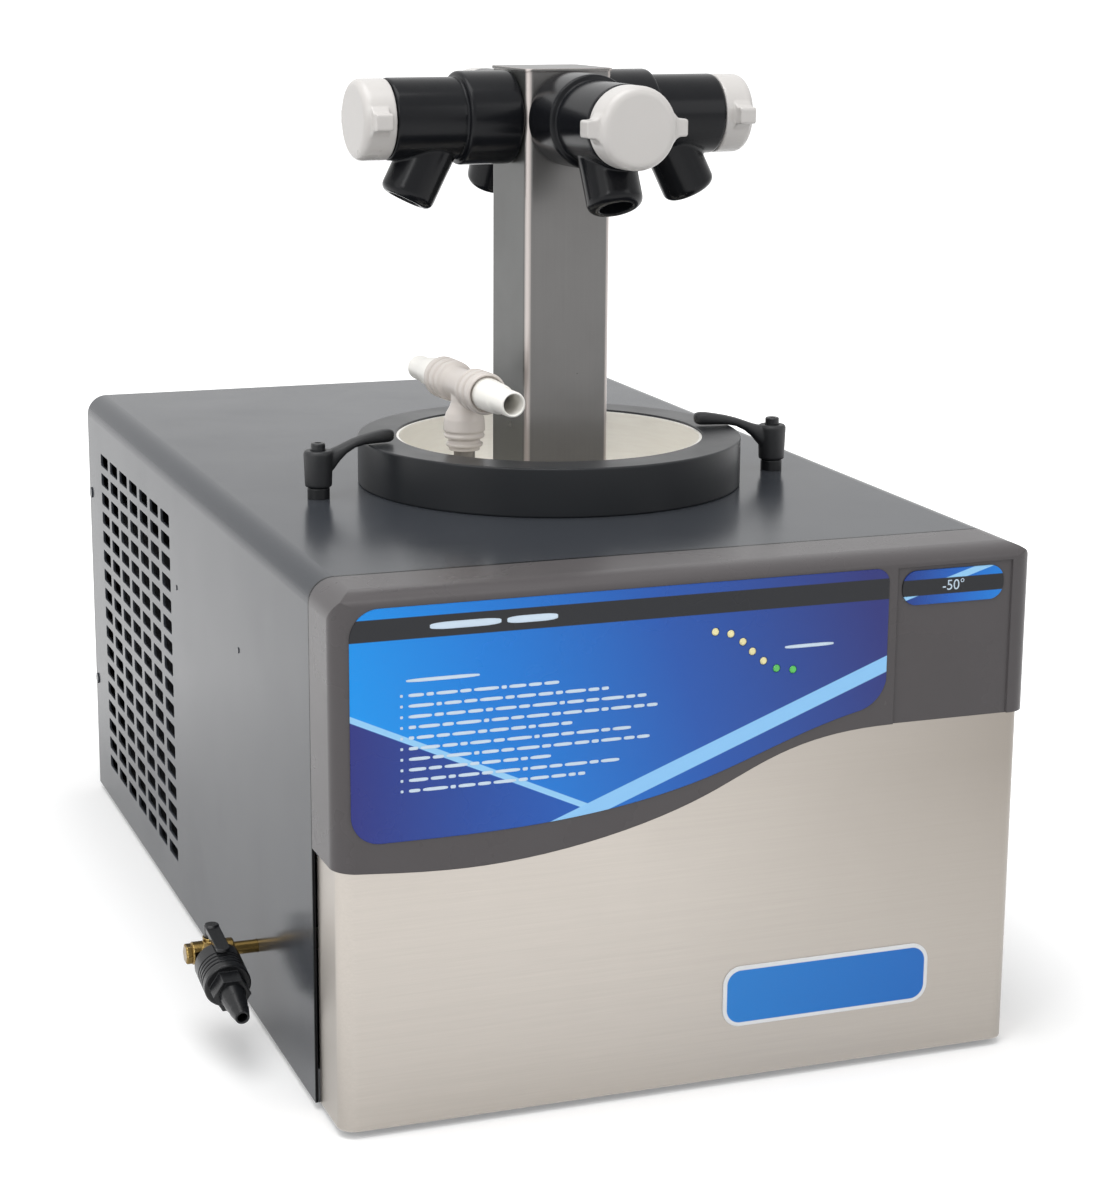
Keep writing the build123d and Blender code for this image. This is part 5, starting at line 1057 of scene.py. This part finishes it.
def make_floor():
    """A pale floor with a painted glow that the camera and reflections see: weak near the object, which darkens
    the floor there as painted shade and keeps the shadow, and white away from it.
    """
    half, fade_width, glow_near, glow_far = 30.0, 0.30, 0.24, 0.75
    low, high = cad_box
    corners = [(x * half, y * half, low[2]) for x, y in ((-1, -1), (1, -1), (1, 1), (-1, 1))]
    mesh = bpy.data.meshes.new("floor")
    mesh.from_pydata(corners, [], [(0, 1, 2, 3)])
    floor = bpy.data.objects.new("floor", mesh)
    bpy.context.collection.objects.link(floor)
    material, tree, shader = new_material("floor_white", specular=0.0)
    shader.inputs["Base Color"].default_value = (0.80, 0.80, 0.80, 1)
    shader.inputs["Roughness"].default_value = 0.9
    shader.inputs["Emission Color"].default_value = (1, 1, 1, 1)
    axes = place_axes(tree)
    away = diagonal(tree, [beyond(tree, axes[k], 0.0, (high[k] - low[k]) / 2) for k in (0, 1)])
    # painted shade: the glow seen by the camera is weaker near the object
    glow = remap(tree, away, 0.0, fade_width, glow_near, glow_far)
    strength = math_node(tree, "MULTIPLY", seen_directly(tree), glow)
    tree.links.new(strength, shader.inputs["Emission Strength"])
    mesh.materials.append(material)


def make_world():
    """Soft light from all round, which the camera sees as white."""
    light_strength, seen_strength = 0.62, 1.0
    world = bpy.data.worlds.new("studio")
    bpy.context.scene.world = world
    world.use_nodes = True
    tree = world.node_tree
    background = tree.nodes["Background"].inputs
    background["Color"].default_value = (1, 1, 1, 1)
    strength = remap(tree, seen_directly(tree), 0.0, 1.0, light_strength, seen_strength)
    tree.links.new(strength, background["Strength"])


def area_lamp(name, place, aim, size, power):
    """A softbox at a place, aimed at a point, with its width and height, and its power in watts."""
    data = bpy.data.lights.new(name, "AREA")
    data.shape = "RECTANGLE"
    data.size, data.size_y = size
    data.energy = power
    lamp = bpy.data.objects.new(name, data)
    lamp.location = place
    lamp.rotation_euler = (Vector(aim) - Vector(place)).to_track_quat("-Z", "Y").to_euler()
    bpy.context.collection.objects.link(lamp)


def make_camera():
    """Stands front left, higher than the column, and looks 20 degrees to the right and down."""
    place = (-0.5125, -1.4842, 0.5683)
    heading, fall, roll = math.radians(20.32), math.radians(13.65), math.radians(0.41)
    data = bpy.data.cameras.new("camera")
    data.lens, data.sensor_width = 80.2, 36.0
    data.clip_end = 100.0
    camera = bpy.data.objects.new("camera", data)
    aim = Euler((math.pi / 2 - fall, 0, -heading)).to_matrix() @ Matrix.Rotation(roll, 3, "Z")
    camera.matrix_world = Matrix.Translation(place) @ aim.to_4x4()
    bpy.context.collection.objects.link(camera)
    bpy.context.scene.camera = camera


make_floor()
make_world()
area_lamp("overhead softbox", (-0.4, -0.3, 2.2), (0, 0, 0.2), (1.8, 1.4), 27)
area_lamp("left softbox", (-2.0, -0.9, 1.1), (0, 0, 0.2), (1.2, 1.6), 7)
area_lamp("key softbox", (-1.5, -1.5, 1.5), (0, 0, 0.25), (0.35, 0.7), 5)
area_lamp("right softbox", (1.5, -1.9, 1.3), (0, 0, 0.2), (1.0, 1.4), 6)
make_camera()
bpy.context.scene.view_settings.view_transform = "Standard"
